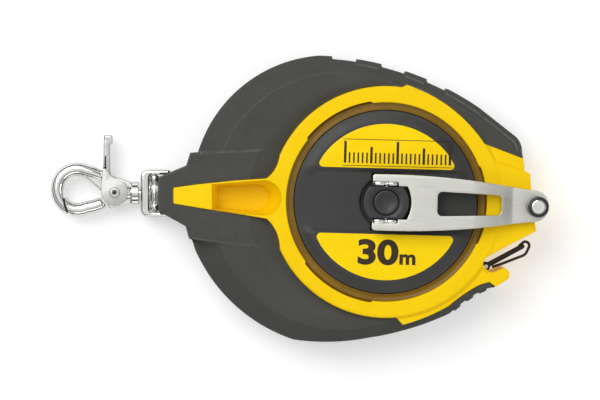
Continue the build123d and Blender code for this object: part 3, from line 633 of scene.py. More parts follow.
DARK_EDGE = path(
    (82.06, 25.9), (81.6, 30.5), ((80.4, 35.8), (76.4, 40.2)), (55.6, 56.6), ((11.6, 78.4), (-39.6, 87.6)),
    ((-87.6, 67.8), (-112.4, 29.7)), (-116.7, 29.4), (-119.1, 21.9), (-135.9, 14.8), (-135.9, -5.6),
    (-119.5, -14.6), (-117.5, -22), (-115.9, -22.6), ((-114.6, -28), (-112.4, -33)),
    ((-92.6, -60.2), (-55, -83)), ((-33, -84.2), (-9.6, -81.6)), ((15, -76.2), (38.6, -66.8)),
    ((49.2, -58.2), (60.4, -52)), (65.8, -50.7), spacing=0.55
)
PLATEAU = closed(
    (5.9, -69), ((-103.6, 0), (7.7, 69.2)), ((43, 57), (73.5, 36)), (79, 26.5), (100, 20),
    (100, -30), (76, -56), (60, -49.6), ((48, -55.6), (36.5, -63.6)),
    ((21.5, -66.6), (5.9, -69)), spacing=1.0
)
NOSE = closed(
    (-150, 36), (-150, -36), (-115.6, -36), (-115.4, -22.5), (-74.4, -27.4), (-50, -20),
    (-50, 24), (-73.2, 31.2), (-112.5, 29.6), (-112.6, 36), spacing=1.0
)
LOBES = closed(
    (60.6, 26.2), (84.6, 17.4), (100, 14), (100, -22), (60.4, -42), (40, -20), spacing=1.0
)
POCKET = closed((-103.6, 10.6), (-103.6, -4.9), (-74, -8), ((-62, 2.6), (-74, 12.9)), spacing=0.9)
POCKET_FLOOR = closed(
    (-100.4, 9), (-100.4, -3.9), (-77.5, -5.5), ((-70.5, 2.4), (-77.5, 10.1)), spacing=0.9
)
FLOOR_Z = 22.8  # floor of the nose pocket
BORE_R = 59.3  # opening of the bezel between its bays
BAYS = ((98, 141, 1.2), (217, 262, 1.2), (-24.5, 20.5, 0.9))
VALLEYS = ((-24.5, 86, 14.6, -12), (5, 80, 14.6, -18), (30.4, 69.5, 12.6, -28))
PALM_RIBS = ((58, -53.2, 24), (50, -57.4, 31), (42.6, -63, 45))
CREASE = 0.45  # half the roll of the crease round the plateau
SHOULDER_FALL = 0.839  # drop of the shoulder per millimetre outside the plateau
DIP_X = -10.0  # the shallow cone round the bezel
DIP_R = 70.6
NOSE_Z = 37.0
NOSE_DRAFT = 0.45
NOSE_FALL = 4.2  # drop of the nose from NOSE_START to the mouth, NOSE_RUN further on
NOSE_START = -103.8
NOSE_RUN = 36.2
BEZEL_Z = 39.5
STRIP_Z = 37.4  # yellow outside the bezel; lobes and nose strip stand LOBE_RISE above it
LOBE_RISE = 1.2
SKIN = 2.2  # thickness of the rubber


def along_bar(points, bar, width):
    """1 beside a bar given as (x, y, tilt), easing to 0 past its ends."""
    x, y, tilt = bar
    c, s = math.cos(math.radians(tilt)), math.sin(math.radians(tilt))
    u = np.abs((points[:, 0] - x) * c + (points[:, 1] - y) * s)
    v = np.abs((points[:, 1] - y) * c - (points[:, 0] - x) * s)
    return (1 - smooth(u, width / 2 - 0.5, width / 2 + 0.5)) * (v < 9)


def grip_edge(points):
    """The dark outer edge with its finger valleys let in and the palm ribs let out."""
    a = points - np.roll(points, 1, 0)
    b = np.roll(points, -1, 0) - points
    a[0] = b[0]
    b[-1] = a[-1]
    run = a + b
    run /= np.linalg.norm(run, axis=1)[:, None]
    inward = np.column_stack([-run[:, 1], run[:, 0]])
    shift = np.zeros(len(points))
    for x, y, width, tilt in VALLEYS:
        shift += 1.7 * along_bar(points, (x, y, tilt), width)
    for x, y, tilt in PALM_RIBS:
        shift -= 1.1 * along_bar(points, (x, y, tilt), 5)
    return points + inward * shift[:, None]


DARK_OUTER = grip_edge(DARK_EDGE)


def scalloped(shift):
    """The bezel's opening: three bays a little deeper than the rest."""
    angles = np.radians(np.arange(0, 360, 0.75))
    turn = np.degrees(angles)
    depth = np.zeros(len(angles))
    for start, end, deep in BAYS:
        middle, half = (start + end) / 2, (end - start) / 2
        away = np.abs((turn - middle + 180) % 360 - 180)
        depth += deep * (1 - smooth(away, half - 0.8, half + 0.8))
    radius = BORE_R + depth + shift
    return np.column_stack([radius * np.cos(angles), radius * np.sin(angles)])


def nose_fall(x):
    return NOSE_FALL * np.clip(NOSE_START - x, 0, 40) / NOSE_RUN


def dark_top(points):
    """Rubber front: plateau, sloping shoulder, raised nose, cone round the bezel, finger pads."""
    out = reach(points, PLATEAU)
    out = np.where(inside(points, [PLATEAU]), -out, out)
    rolled = np.where(out > CREASE, out, np.clip(out + CREASE, 0, 2 * CREASE) ** 2 / (4 * CREASE))
    z = BODY_Z - SHOULDER_FALL * rolled
    edge = reach(points, DARK_EDGE, False)
    x, y = points[:, 0], points[:, 1]
    gripped = smooth(x, -18.4, -17.4) * (y > 30)
    for vx, vy, width, tilt in VALLEYS:
        gripped *= 1 - along_bar(points, (vx, vy, tilt), width + 0.6)
    z += 0.9 * gripped * (1 - smooth(edge, 3, 3.6))
    for px, py, tilt in PALM_RIBS:
        z += 0.8 * along_bar(points, (px, py, tilt), 5) * (1 - smooth(edge, 2.4, 3.2))
    cone = DIP_R - np.hypot(x - DIP_X, y)
    nose_edge = reach(points, NOSE)
    nose_in = np.where(inside(points, [NOSE]), nose_edge, -nose_edge)
    nose_z = NOSE_Z - nose_fall(x)
    nose_z -= (NOSE_Z - BODY_Z) * smooth(cone, -1.6, 0.2)
    z += (nose_z - z) * np.clip(nose_in / NOSE_DRAFT, 0, 1)
    return z - 0.21 * np.clip(cone, 0, 12)


def dark_under(points):
    """The rubber is backed by the hard moulding: a skin inside a rim down to the parting line."""
    rim = np.minimum(reach(points, DARK_EDGE, False), 50)
    skin = dark_top(points) - SKIN
    return PARTING_Z + (skin - PARTING_Z) * smooth(rim, 2, 2.3)


def yellow_top(points):
    """Bezel ring with rolled shoulders, nose strip falling to the mouth, grip lobes."""
    x, y = points[:, 0], points[:, 1]
    radius = np.hypot(x, y)
    lobe_edge = reach(points, LOBES)
    lobe = np.where(inside(points, [LOBES]), lobe_edge, -lobe_edge)
    strip = STRIP_Z + LOBE_RISE * smooth(lobe, -0.5, 0.5)
    nose = (x < -55) & (y < 30) & (y > -26)
    strip = np.where(nose, STRIP_Z + LOBE_RISE - nose_fall(x), strip)
    ring = BEZEL_Z - 0.9 * smooth(radius, 68.2, 69.4) - 3.0 * smooth(radius, 69.2, 70.2)
    z = np.maximum(strip, np.where(radius < 70.2, ring, 0))
    within = inside(points, [POCKET])
    wall = np.where(inside(points, [POCKET_FLOOR]), 0, reach(points, POCKET_FLOOR))
    rise = np.where(within, wall / np.maximum(wall + reach(points, POCKET), 1e-6), 1)
    return FLOOR_Z + (z - FLOOR_Z) * rise


def yellow_under(points):
    rim = np.minimum(reach(points, YELLOW), 50)
    bore = np.hypot(points[:, 0], points[:, 1]) - 59.7
    pocket = np.where(inside(points, [POCKET]), 0, reach(points, POCKET))
    wall = np.minimum(rim, np.minimum(bore, pocket))
    return PARTING_Z + (34.4 - PARTING_Z) * smooth(wall, 2.4, 2.7)


YELLOW = facing(np.vstack([COLOUR_EDGE[:-1], RIGHT_EDGE[:-1]]), 1)
DARK = facing(np.vstack([DARK_OUTER[:-1], COLOUR_EDGE[:-1]]), 1)


def bounded(lines, loops):
    """The parts of crease lines that lie in an area."""
    kept = []
    for line in lines:
        within = inside(line, loops)
        run = []
        for point, good in zip(line, within):
            if good:
                run.append(point)
            elif run:
                kept.append(np.array(run))
                run = []
        if run:
            kept.append(np.array(run))
    return [line for line in kept if len(line) > 2]


def ring_line(loop):
    return np.vstack([loop, loop[:1]])


# ------------------------------------------------------------------ case
def soft_rim(points):
    """Rubber rolls over at its outside edge and meets the hard moulding with a crisp one."""
    return np.where(reach(points, DARK_EDGE, False) < 3, 1.1, 0.3)


def hard_rim(points):
    return np.where(np.hypot(points[:, 0], points[:, 1]) < 60.2, 0.8, 0.4)


def keeper_top(points):
    """Ring dished between the dial and the bezel; its dark amber-brown is painted shade of the gap there."""
    return np.interp(np.hypot(points[:, 0], points[:, 1]), KEEPER_R, KEEPER_H)


KEEPER_R = [55.1, 55.9, 56.7, 57.6, 58.5, 59.1, 60.6]
KEEPER_H = [36.4, 35.7, 35.3, 35.2, 35.5, 36, 34]
KEEPER_LINES = [ring_line(circle(0, 0, r)) for r in KEEPER_R[1:-1]]


def build_case():
    seam = shrink(DARK, GAP)
    plateau = [ring_line(shrink(facing(PLATEAU, 1), d)) for d in (-CREASE, 0, CREASE)]
    nose = [ring_line(shrink(facing(NOSE, 1), d)) for d in (0.02, NOSE_DRAFT)]
    cone = [ring_line(circle(DIP_X, 0, DIP_R + d)) for d in (0, 1.6)]
    pads = [shrink(DARK_EDGE, depth)[4:-3] for depth in (3, 3.6)]
    lines = bounded(plateau + nose + cone + pads, [shrink(DARK, 2.4)])
    skin = moulding(seam, [], dark_top, dark_under, soft_rim, 0.1, 1.15, lines)
    piece("front_grip_skin", "case", ["front_grip"], "dark_grip", skin, angle=46)

    bore = scalloped(0)
    rings = [ring_line(circle(0, 0, r)) for r in (68.2, 69.35, 70.2)]
    lobes = [ring_line(shrink(facing(LOBES, 1), d)) for d in (-0.5, 0.5)]
    basin = [ring_line(POCKET), ring_line(shrink(facing(POCKET, 1), 0.3)), ring_line(POCKET_FLOOR)]
    lines = bounded(rings + lobes + basin, [shrink(YELLOW, 0.9)])
    hull = shrink(YELLOW, GAP)
    shell = moulding(hull, [bore], yellow_top, yellow_under, hard_rim, 0.1, 1.1, lines)
    deck = [
        (8.4, 17), (61.6, 17), (61.6, 19.6), (59.75, 19.6), (59.75, 33.4), (57.6, 33.4), (57.6, 30.7),
        (53.6, 30.7), (53.6, 19.5), (44.4, 19.5), (44.4, 24.5), (42.1, 24.5), (42.1, 19.5), (8.4, 19.5)
    ]
    ring = moulding(
        scalloped(-0.12), [circle(0, 0, 55.1, 0.9)], keeper_top, level(33.5), 0.12, 0.1, 1, KEEPER_LINES
    )
    # the keeper ring's dark amber-brown is painted shade for the gap between the dial and the bezel
    piece("keeper_ring", "case", ["dial_keeper"], "amber_ring", ring, angle=50)
    piece(
        "front_moulding", "case", ["front_shell", "knob_socket"], "yellow_plastic", shell, lathe(deck),
        angle=40
    )


build_case()


# ------------------------------------------------------------------ dial, labels, hub
DIAL_Z = 38.5
DIAL_DROP = 1.5  # from the label ground down to the dial's edge, and to the channel
DIAL_DISH = (47.6, 54)  # radii the rim is dished away between
CHANNEL_Z = 37.0
CHANNEL_Y = 0.45
CHANNEL_HALF = 16.9
BANK = 2.3  # width of the channel's sloping banks
CHANNEL_END = (41.5, 44.5)
HUB_Z = 47.4
HUB_DISH = (8.6, 9.3)  # radii of the shallow dish round the button
BUTTON_Z = 47.1  # middle of the button's hollow, which rises BUTTON_RISE at BUTTON_R
BUTTON_RISE = 0.8
BUTTON_R = 6
PRINT_Z = 38.76


def dial_top(points):
    """Flat label ground, rim dished away to the edge, channel with sloping banks across it."""
    x, y = points[:, 0], points[:, 1]
    radius = np.hypot(x, y)
    z = DIAL_Z - DIAL_DROP * smooth(radius, *DIAL_DISH)
    bank = np.maximum(np.abs(y - CHANNEL_Y) - CHANNEL_HALF, 0) / BANK
    ends = smooth(np.abs(x), *CHANNEL_END)
    channel = CHANNEL_Z + DIAL_DROP * np.clip(bank, 0, 1)
    flat_end = CHANNEL_Z + (z - CHANNEL_Z) * np.clip((np.abs(y) - 15) / 5, 0, 1)
    channel = channel * (1 - ends) + flat_end * ends
    return np.minimum(z, channel)


def double_d(radius, flat, corner):
    """A round with two flats, corners eased."""
    half = math.asin(flat / radius)
    run = [(radius * math.cos(t), radius * math.sin(t)) for t in np.linspace(-half, half, 17)]
    run += [(-x, y) for x, y in run[::-1]]
    ends = (0, 16, 17, 33)
    return rounded([(*point, corner if n in ends else 0) for n, point in enumerate(run)], 0)


def well_outline():
    """The round well with square bays at both sides for the crank's ears."""
    c = 15.5
    bay_x, bay_y = 8.9, 17.0
    start = math.asin(bay_x / c)
    run = []
    for side in (1, -1):
        run += [(side * bay_x, side * bay_y), (-side * bay_x, side * bay_y)]
        low = math.pi / 2 + start if side > 0 else -math.pi / 2 + start
        run += [(c * math.cos(t), c * math.sin(t)) for t in np.linspace(low, low + math.pi - 2 * start, 24)]
    return np.array(run)


def d_label(chord, radius, side):
    """A printed label: the part of a disc beyond a chord, on one side of the dial."""
    half = math.acos(chord / radius)
    run = [(radius * math.sin(t), radius * math.cos(t)) for t in np.linspace(half, -half, 61)]
    # the arc stops short of the chord, which leaves room for the rounded corners
    loop = rounded([(*run[-1], 2.6), (*run[0], 2.6), *run[5:-5]], 0, 6)
    if side < 0:
        loop = loop * np.array([1, -1])
    return facing(loop, 1)


def lettering(text, size, span, y, z, depth, bold):
    """Raised figures as closed outlines turned to a mesh, widened to fill the span."""
    curve = bpy.data.curves.new("figures", "FONT")
    curve.body = text
    curve.size = size * MM
    curve.align_x = "CENTER"
    curve.align_y = "BOTTOM_BASELINE"
    curve.extrude = depth / 2 * MM
    curve.offset = bold * MM
    holder = bpy.data.objects.new("figures", curve)
    bpy.context.scene.collection.objects.link(holder)
    bpy.context.view_layer.update()
    mesh = bpy.data.meshes.new_from_object(holder)
    across = [v.co.x / MM for v in mesh.vertices]
    wide = (span[1] - span[0]) / (max(across) - min(across))
    left = min(across)
    verts = [(span[0] + (v.co.x / MM - left) * wide, v.co.y / MM + y, v.co.z / MM + z) for v in mesh.vertices]
    faces = [tuple(f.vertices) for f in mesh.polygons]
    bpy.data.objects.remove(holder)
    return verts, faces


def bar(x0, x1, y0, y1, low, high):
    """A printed line of the ruler."""
    outline = rounded([(x0, y0), (x1, y0), (x1, y1), (x0, y1)], 0.25, 2)
    return prism(outline, low, high, 0.04, spacing=90, low_edge=0)


def button_z(r):
    return BUTTON_Z + BUTTON_RISE * (r / BUTTON_R) ** 2


def hub_top(points):
    """Flat cap with a shallow dish leading in to the button."""
    radius = np.hypot(points[:, 0], points[:, 1])
    return HUB_Z - 0.35 * (1 - smooth(radius, *HUB_DISH))


def build_dial():
    well = well_outline()
    rims = circle(0, 0, 54.6, 0.9)
    lines = [ring_line(circle(0, 0, r)) for r in (DIAL_DISH[0], 50.8, DIAL_DISH[1])]
    banks = []
    for side in (-1, 1):
        for height in (CHANNEL_HALF, CHANNEL_HALF + BANK):
            y = CHANNEL_Y + side * height
            banks.append(path((-53, y), (53, y)))
    near, far = CHANNEL_END
    for x in (-far, -near, near, far):
        banks.append(path((x, -22), (x, 22)))
    lines = bounded(lines + banks, [circle(0, 0, 53.6)])
    lines = [line for line in lines if len(line) > 3]
    face = moulding(rims, [well], dial_top, level(35.4), 0.55, 0.1, 1.2, lines)
    cup = lathe(
        [(AXIS, 31.2), (22.5, 31.2), (22.5, 35.5), (20.7, 35.5), (20.7, 33.2), (AXIS, 33.2)],
        is_closed=False
    )
    skirt = lathe([(51.5, 31), (57.2, 31), (57.2, 33.2), (54.2, 33.2), (54.2, 35.5), (51.5, 35.5)])
    legs = [lathe([(2.01, 27), (4.6, 27), (4.6, 31.3), (2.01, 31.3)], 27 * math.cos(t), 27 * math.sin(t), 32)
            for t in (0, math.radians(120), math.radians(240))]
    boss = lathe([(3.05, 27), (6.5, 27), (6.5, 31.3), (3.05, 31.3)], count=48)
    plate = turned(joined(face, cup), REST_TURN)
    piece("dial_face", "dial", ["dial"], "dark_plastic", plate, skirt, boss, *legs, angle=30)

    for name, chord, side in (("upper", 20.1, 1), ("lower", 19.2, -1)):
        film = prism(d_label(chord, 46.6, side), 38.46, 38.78, 0.12, spacing=6)
        piece(f"{name}_film", "dial", [f"{name}_label"], "label", film, turn=REST_TURN)
    low, high = 38.7, 38.83
    ticks = []
    for n in range(25):
        x = 6.3 - 31.2 + 2.6 * n
        tall = 13.2 if n % 12 == 0 else 9.8 if n % 6 == 0 else 6.4
        wide = 1.5 if n % 6 == 0 else 1.0
        ticks.append(bar(x - wide / 2, x + wide / 2, 22.8, 22.8 + tall, low, high))
    for y in (21.35, 37):
        ticks.append(bar(-26.4, 39, y - 0.2, y + 0.2, low, high))
    piece("scale_print", "dial", [], "label", *ticks, turn=REST_TURN, material="label_ink")
    big = lettering("30", 19.9, (-15.9, 8.4), -36.7, PRINT_Z, 0.12, 0.75)
    small = lettering("m", 12, (9, 18.6), -36.7, PRINT_Z, 0.12, 0.42)
    piece("length_print", "dial", [], "label", big, small, turn=REST_TURN, material="label_ink", angle=30)

    rings = [ring_line(circle(0, 0, r, 0.6)) for r in HUB_DISH]
    block = moulding(
        double_d(13.6, 9.4, 1.2), [circle(0, 0, 7.6, 0.5)], hub_top, level(33.25), 0.7, 0.2, 1.2, rings
    )
    core = lathe([(4.9, 33.25), (7.7, 33.25), (7.7, 45.1), (4.9, 45.1)], count=64)
    piece(
        "hub_body", "dial", ["hub_block"], "dark_plastic", block, core, turn=REST_TURN, angle=32,
        material="hub_black"
    )
    dish = [(AXIS, BUTTON_Z)] + [(r, button_z(r)) for r in np.linspace(0.6, 5.6, 10)]
    dish += [
        (6.2, 47.86), (6.7, 47.88), (7.05, 47.7), (7.25, 47.35), (7.3, 46.4), (4.6, 46.4), (4.6, 40.1),
        (AXIS, 40.1)
    ]
    button = lathe(dish, count=72, is_closed=False)
    dots = []
    for n in range(5):
        y = 3.6 - 1.8 * n
        z = button_z(y)
        dots.append(
            lathe([(AXIS, z + 0.22), (0.3, z + 0.18), (0.5, z - 0.05), (AXIS, z - 0.1)], 0, y, 16, False)
        )
    piece(
        "press_button", "button", ["hub_button"], "dark_plastic", button, *dots, turn=REST_TURN, angle=30,
        material="hub_black"
    )


build_dial()


# ------------------------------------------------------------------ crank and knob
KNOB_X = 89.2
ARM_THICK = 2.0
ARM_FALL = (
    [51.2, 53, 56, 60, 64, 68, 72, 74.9, 75.3],
    [47.9, 47.83, 47.55, 47, 46.32, 45.5, 44.55, 43.94, 43.9]
)


def arm_height(points):
    """Top of the arm: flat over the hub, curving down to the tab the knob stands on."""
    return np.interp(points[:, 0], *ARM_FALL)


def arm_under(points):
    return arm_height(points) - ARM_THICK


def upright(shape):
    """A shape drawn in (x, z) stood up, so that its height or axis lies along Y."""
    verts, faces = shape
    return [(x, z, y) for x, y, z in verts], faces


def build_crank():
    plan = closed(
        (-8.2, -14.8), ((-7.7, -16.2), (-6.4, -16.65)), ((24, -16.3), (56, -13.7)), (86.2, -9.4),
        ((96.9, 0), (86.2, 9.4)), (56, 13.7), ((24, 16.3), (-6.4, 16.65)),
        ((-7.7, 16.2), (-8.2, 14.8)), (-8.2, 12.3), (6, 12.3), ((6.9, 12), (7.2, 11.2)), (7.2, 9.9),
        (12.4, 9.8), ((14.9, 0), (12.4, -9.8)), (7.2, -9.9), (7.2, -11.2), ((6.9, -12), (6, -12.3)),
        (-8.2, -12.3), spacing=0.8
    )
    window = rounded([(30.4, -7.3), (68.6, -5.9), (68.6, 5.9), (30.4, 7.3)], 3, 6)
    window = np.vstack(
        [path(tuple(a), tuple(b), spacing=0.9)[:-1] for a, b in zip(window, np.roll(window, -1, 0))]
    )
    hole = circle(KNOB_X, 0, 2.7, 0.5)
    bends = [path((x, -20), (x, 20)) for x in ARM_FALL[0]]
    lines = bounded(bends, [shrink(facing(plan, 1), 0.6), shrink(facing(window, 1), -0.6)])
    sheet = moulding(plan, [window, hole], arm_height, arm_under, 0.3, 0.25, 1.2, lines, lines)
    piece("crank_plate", "crank", ["crank_arm"], "crank_steel", sheet, turn=REST_TURN, angle=30)
    hump = [
        (5.9, 47.6, 0.9), (3.9, 48, 0.9), (1.4, 47.9, 0.7), (0.5, 46.9, 0.5), (-0.7, 46.9, 0.5),
        (-1.6, 47.9, 0.7), (-4.2, 48, 0.9), (-6.6, 47.6, 0.9), (-8.2, 46.2, 0.8), (-7.4, 39.7, 3.4),
        (6.6, 39.7, 3.4), (6.9, 46.2, 0.8)
    ]
    ear = rounded(hump, 0.8, 6)
    lugs = [upright(prism(ear, y, y + 2.75, 1.25, spacing=30, low_edge=1.25)) for y in (-12.55, 9.8)]
    piece("crank_lugs", "crank", [], "crank_steel", *lugs, turn=REST_TURN, angle=34, material="chrome")
    pins = []
    for side in (-1, 1):
        shank = [(AXIS, side * 5.6), (1.4, side * 5.6), (1.4, side * 11.9), (2.1, side * 12)]
        head = [(2.1, side * 12.5), (1.7, side * 12.8), (0.9, side * 12.95), (AXIS, side * 12.98)]
        pins.append(upright(lathe(shank + head, 0, HINGE_Z, 32, False)))
    piece("hinge_pair", "dial", ["hinge_pins"], "steel", *pins, turn=REST_TURN, angle=34)

    grip = [
        (2.66, 44.2), (5, 44.2), (5.8, 44.45), (6.15, 45.1), (6.2, 46.2), (6, 47.4), (6, 60.2),
        (6.2, 61.2), (6.15, 61.9), (5.8, 62.4), (5.2, 62.6), (2.66, 62.6)
    ]
    verts, faces = lathe(grip, count=144)
    fluted = []
    for x, y, z in verts:
        radius = math.hypot(x, y)
        turn = math.atan2(y, x)
        groove = max(0, math.cos(12 * turn)) ** 3 if radius > 5.9 and 47.0 < z < 60.5 else 0.0
        scale = 1 - 0.035 * groove
        fluted.append((x * scale + KNOB_X, y * scale, z))
    piece("knob_grip", "knob", ["crank_knob"], "knob_plastic", (fluted, faces), turn=REST_TURN, angle=34)
    shaft = [
        (AXIS, 41), (3.4, 41), (4.1, 41.25), (4.2, 41.6), (4.2, 41.88), (2.6, 41.88), (2.6, 62.72),
        (4.2, 62.72), (4.3, 62.85), (4.3, 63.3), (4.1, 63.6), (3.7, 63.74), (2, 63.78), (AXIS, 63.8)
    ]
    piece(
        "knob_cap", "crank", ["knob_rivet"], "chrome", lathe(shaft, KNOB_X, 0, 72, False), turn=REST_TURN,
        angle=34
    )


build_crank()


# ------------------------------------------------------------------ blade end, bail, snap hook
def cut(shape, tool, how="DIFFERENCE"):
    """One closed shape cut by another."""
    holders = []
    for verts, faces in (shape, tool):
        mesh = bpy.data.meshes.new("cut")
        mesh.from_pydata([tuple(c * MM for c in v) for v in verts], [], faces)
        solid = bmesh.new()
        solid.from_mesh(mesh)
        bmesh.ops.remove_doubles(solid, verts=solid.verts, dist=2e-6)
        bmesh.ops.recalc_face_normals(solid, faces=solid.faces)
        solid.to_mesh(mesh)
        solid.free()
        holder = bpy.data.objects.new("cut", mesh)
        bpy.context.scene.collection.objects.link(holder)
        holders.append(holder)
    modifier = holders[0].modifiers.new("cut", "BOOLEAN")
    modifier.operation = how
    modifier.solver = "EXACT"
    modifier.object = holders[1]
    graph = bpy.context.evaluated_depsgraph_get()
    mesh = bpy.data.meshes.new_from_object(holders[0].evaluated_get(graph))
    result = (
        [tuple(c / MM for c in v.co) for v in mesh.vertices], [tuple(f.vertices) for f in mesh.polygons]
    )
    for holder in holders:
        bpy.data.objects.remove(holder)
    return result


def endways(shape):
    """Turns an upright shape's axis to lie along X."""
    verts, faces = shape
    return [(z, y, x) for x, y, z in verts], faces


RING = (-185.7, 6.9)  # centre of the ring
RING_R = 12.3
PIVOT = (-163, 5.2)  # what the trigger swings about
WIRE_FLAT = 3.93  # half the height of the 8 mm wire once its top and bottom are rubbed flat
FIXED_REACH = 31.7  # from the pivot to the ring's fixed end, its tongue, and the gate's tip
TONGUE_REACH = 30.7
GATE_REACH = 30.2
GATE_ROOT = 9.4
CHEEK_R = 8.2
CHEEK = (3.3, 5.1)  # the trigger's cheeks, from the hook's middle plane
# radius and distance from the hook's middle plane, the same on both faces
RIVET_HEAD = [
    (AXIS, 2.8), (3.2, 2.8), (3.2, 5.65), (2.8, 5.95), (1.75, 6), (1.45, 5.75), (1.35, 3.5), (AXIS, 3.3)
]
# black discs sunk in the rivet heads' hollows: painted shade at the bottom of each hollow
RIVET_HOLLOW_SHADE = [(AXIS, 4), (1.3, 4), (1.3, 5), (0.9, 5.3), (AXIS, 5.35)]


def on_ring(angle):
    """A point on the middle line of the hook's ring."""
    t = math.radians(angle)
    return (RING[0] + RING_R * math.cos(t), RING[1] + RING_R * math.sin(t), BLADE_Z)


def cast_wire(points, radii):
    """Cast wire: round at the sides, with a flat along its top and its bottom."""
    verts, faces = tube(points, radii, 40)
    low, high = BLADE_Z - WIRE_FLAT, BLADE_Z + WIRE_FLAT
    return [(x, y, min(max(z, low), high)) for x, y, z in verts], faces


def build_hook():
    arc = [on_ring(a) for a in np.linspace(243, 68, 90)]
    ending = [(-176.4, 16.9, BLADE_Z), (-171.6, 15, BLADE_Z)]
    fixed = cast_wire(arc + ending, [4] * len(arc) + [3.9, 3.4])
    keep = prism(
        rounded([(-200, -20), (-170, -20), (-170, 6.8), (-200, 6.8)], 0), -1, 21, 0, spacing=70.0
    )
    tongue = tube([on_ring(a) for a in np.linspace(243, 222, 16)], [3.2] * 16, 32)
    beaks = []
    for shape, radius in ((fixed, FIXED_REACH), (tongue, TONGUE_REACH)):
        swing = prism(circle(*PIVOT, radius, 0.5), 0, 20, 0, spacing=70)
        beaks.append(cut(shape, cut(swing, keep, "INTERSECT")))
    plate = [
        (-173.4, 18.8), (-164.6, 15.2), (-158.4, 13), (-153.1, 11.3), (-153.1, -1.8), (-158.4, -3.2),
        (-161.5, -3.9), (-166.4, -4.9), (-167.2, -2.6), (-168.6, 0.4), (-170.4, 5.2), (-172.6, 7.4),
        (-180.4, 14.2), (-180.2, 16.6)
    ]
    frame_plate = prism(rounded(plate, 1, 5), BLADE_Z - 2.9, BLADE_Z + 2.9, 0.8, spacing=9, low_edge=0.8)
    stem = [
        (AXIS, -158.2), (3, -158.2), (4.6, -157), (4.9, -155), (4.4, -153.2), (4.6, -152.9),
        (6.2, -152.85), (6.7, -152.5), (6.7, -148.8), (6.2, -148.45), (2.6, -148.4), (2.6, -144.1),
        (3, -143.9), (3.1, -143.2), (3, -142.4), (AXIS, -142.3)
    ]
    swivel = endways(lathe(stem, BLADE_Z, MOUTH_Y, 64, False))
    piece("hook_casting", "hook", ["hook_body"], "chrome", beaks[0], frame_plate, swivel, angle=34)
    # the tongue is dark in the black wire material: painted shade for the seam between the gate and the
    # ring's fixed end
    piece("ring_tongue", "hook", [], "chrome", beaks[1], angle=34, material="black_wire")

    heads = (
        ("pivot_rivet", ["trigger_rivet"], "steel", 40, RIVET_HEAD),
        # the black discs in the rivet heads are painted shade in their hollows
        ("rivet_hollow_shade", [], "black_wire", 32, RIVET_HOLLOW_SHADE)
    )
    for name, nodes, slot, count, profile in heads:
        both = [
            lathe([(r, BLADE_Z + side * h) for r, h in profile], *PIVOT, count, False) for side in (-1, 1)
        ]
        piece(name, "hook", nodes, slot, *both, angle=34)

    cheek = [(-169.8, 21, 0.3), (-170.2, 18.5, 2), (-171.1, 8, 3), (-171.1, 4.2, 2.5)]
    turns = np.radians(np.linspace(205, 420, 40))
    around = [(PIVOT[0] + CHEEK_R * math.cos(t), PIVOT[1] + CHEEK_R * math.sin(t), 0) for t in turns]
    waist = [(-165.3, 15, 2.2), (-166.3, 18, 1), (-166.3, 21, 0.3)]
    outline = rounded(cheek + around + waist, 0, 6)
    near, far = CHEEK
    cheeks = [prism(outline, BLADE_Z + near, BLADE_Z + far, 0.35, spacing=9, low_edge=0.2)]
    cheeks.append(prism(outline, BLADE_Z - far, BLADE_Z - near, 0.2, spacing=9, low_edge=0.35))
    lever = [(-169.9, 19.4), (-166.2, 19.4), (-166.2, 33.9), (-164.6, 35), (-164.6, 39.8), (-169.5, 39.8)]
    lever = rounded([*lever, (-169.7, 34)], 0.6, 4)
    thumb = prism(lever, BLADE_Z - far, BLADE_Z + far, 1.1, spacing=9, low_edge=1.1)
    gate_run = [on_ring(a) for a in np.linspace(222, 296, 44)]
    gate = cast_wire(gate_run + [(-176, -3.4, BLADE_Z), (-171.8, -2, BLADE_Z)], [4] * 44 + [4, 3.9])
    root = circle(*PIVOT, GATE_ROOT, 0.5)
    sweep = prism(circle(*PIVOT, GATE_REACH, 0.5), 0, 20, 0, holes=[root], spacing=70)
    gate = cut(gate, sweep, "INTERSECT")
    piece("trigger_gate", "trigger", ["snap_trigger"], "chrome", thumb, gate, angle=34)
    piece("trigger_cheeks", "trigger", [], "chrome", *cheeks, angle=34, material="satin_chrome")

    arm = [(-129.6, 14.2, 0.9), (-129.6, 11.2, 0.9), (-141.8, 11.2, 1.8)]
    arms = [(x, MOUTH_Y - y, size) for x, y, size in arm]
    arms += [(x, MOUTH_Y + y, size) for x, y, size in arm[::-1]]
    back = [(-147.4, MOUTH_Y + 14.2, 4.2), (-147.4, MOUTH_Y - 14.2, 4.2)]
    loop = rounded(arms + back, 0, 7)
    bail = prism(loop, BLADE_Z - 3.6, BLADE_Z + 3.6, 1.45, spacing=4, low_edge=1.45)
    bore, seat = (
        endways(lathe([(AXIS, low), (r, low), (r, -138), (AXIS, -138)], BLADE_Z, MOUTH_Y, 40, False))
        for r, low in ((2.66, -152), (3.3, -144.4))
    )
    bail = cut(cut(bail, bore), seat)
    piece("bail_casting", "tape_end", ["end_bail"], "chrome", bail, angle=34)

    bands = [(AXIS, -10.7), (1.9, -10.7), (2.1, -10.5), (2.1, -10.4)]
    for middle, half in ((-8.6, 1.8), (0, 4.7), (8.6, 1.8)):
        bands += [(2.1, middle - half - 0.2), (2.5, middle - half), (2.6, middle - half + 0.2)]
        bands += [(2.6, middle + half - 0.2), (2.5, middle + half), (2.1, middle + half + 0.2)]
    bands += [(2.1, 10.5), (1.9, 10.7), (AXIS, 10.7)]
    drum = upright(lathe([(r, h + MOUTH_Y) for r, h in bands], -139, BLADE_Z, 48, False))
    piece("barrel_drum", "tape_end", ["end_barrel"], "chrome", drum, angle=34)


build_hook()


# ------------------------------------------------------------------ wire clip
CLIP_Z = 29.0
CLIP_EYE = (60, -38.6)


def lift(points):
    return [(float(x), float(y), CLIP_Z) for x, y in points]


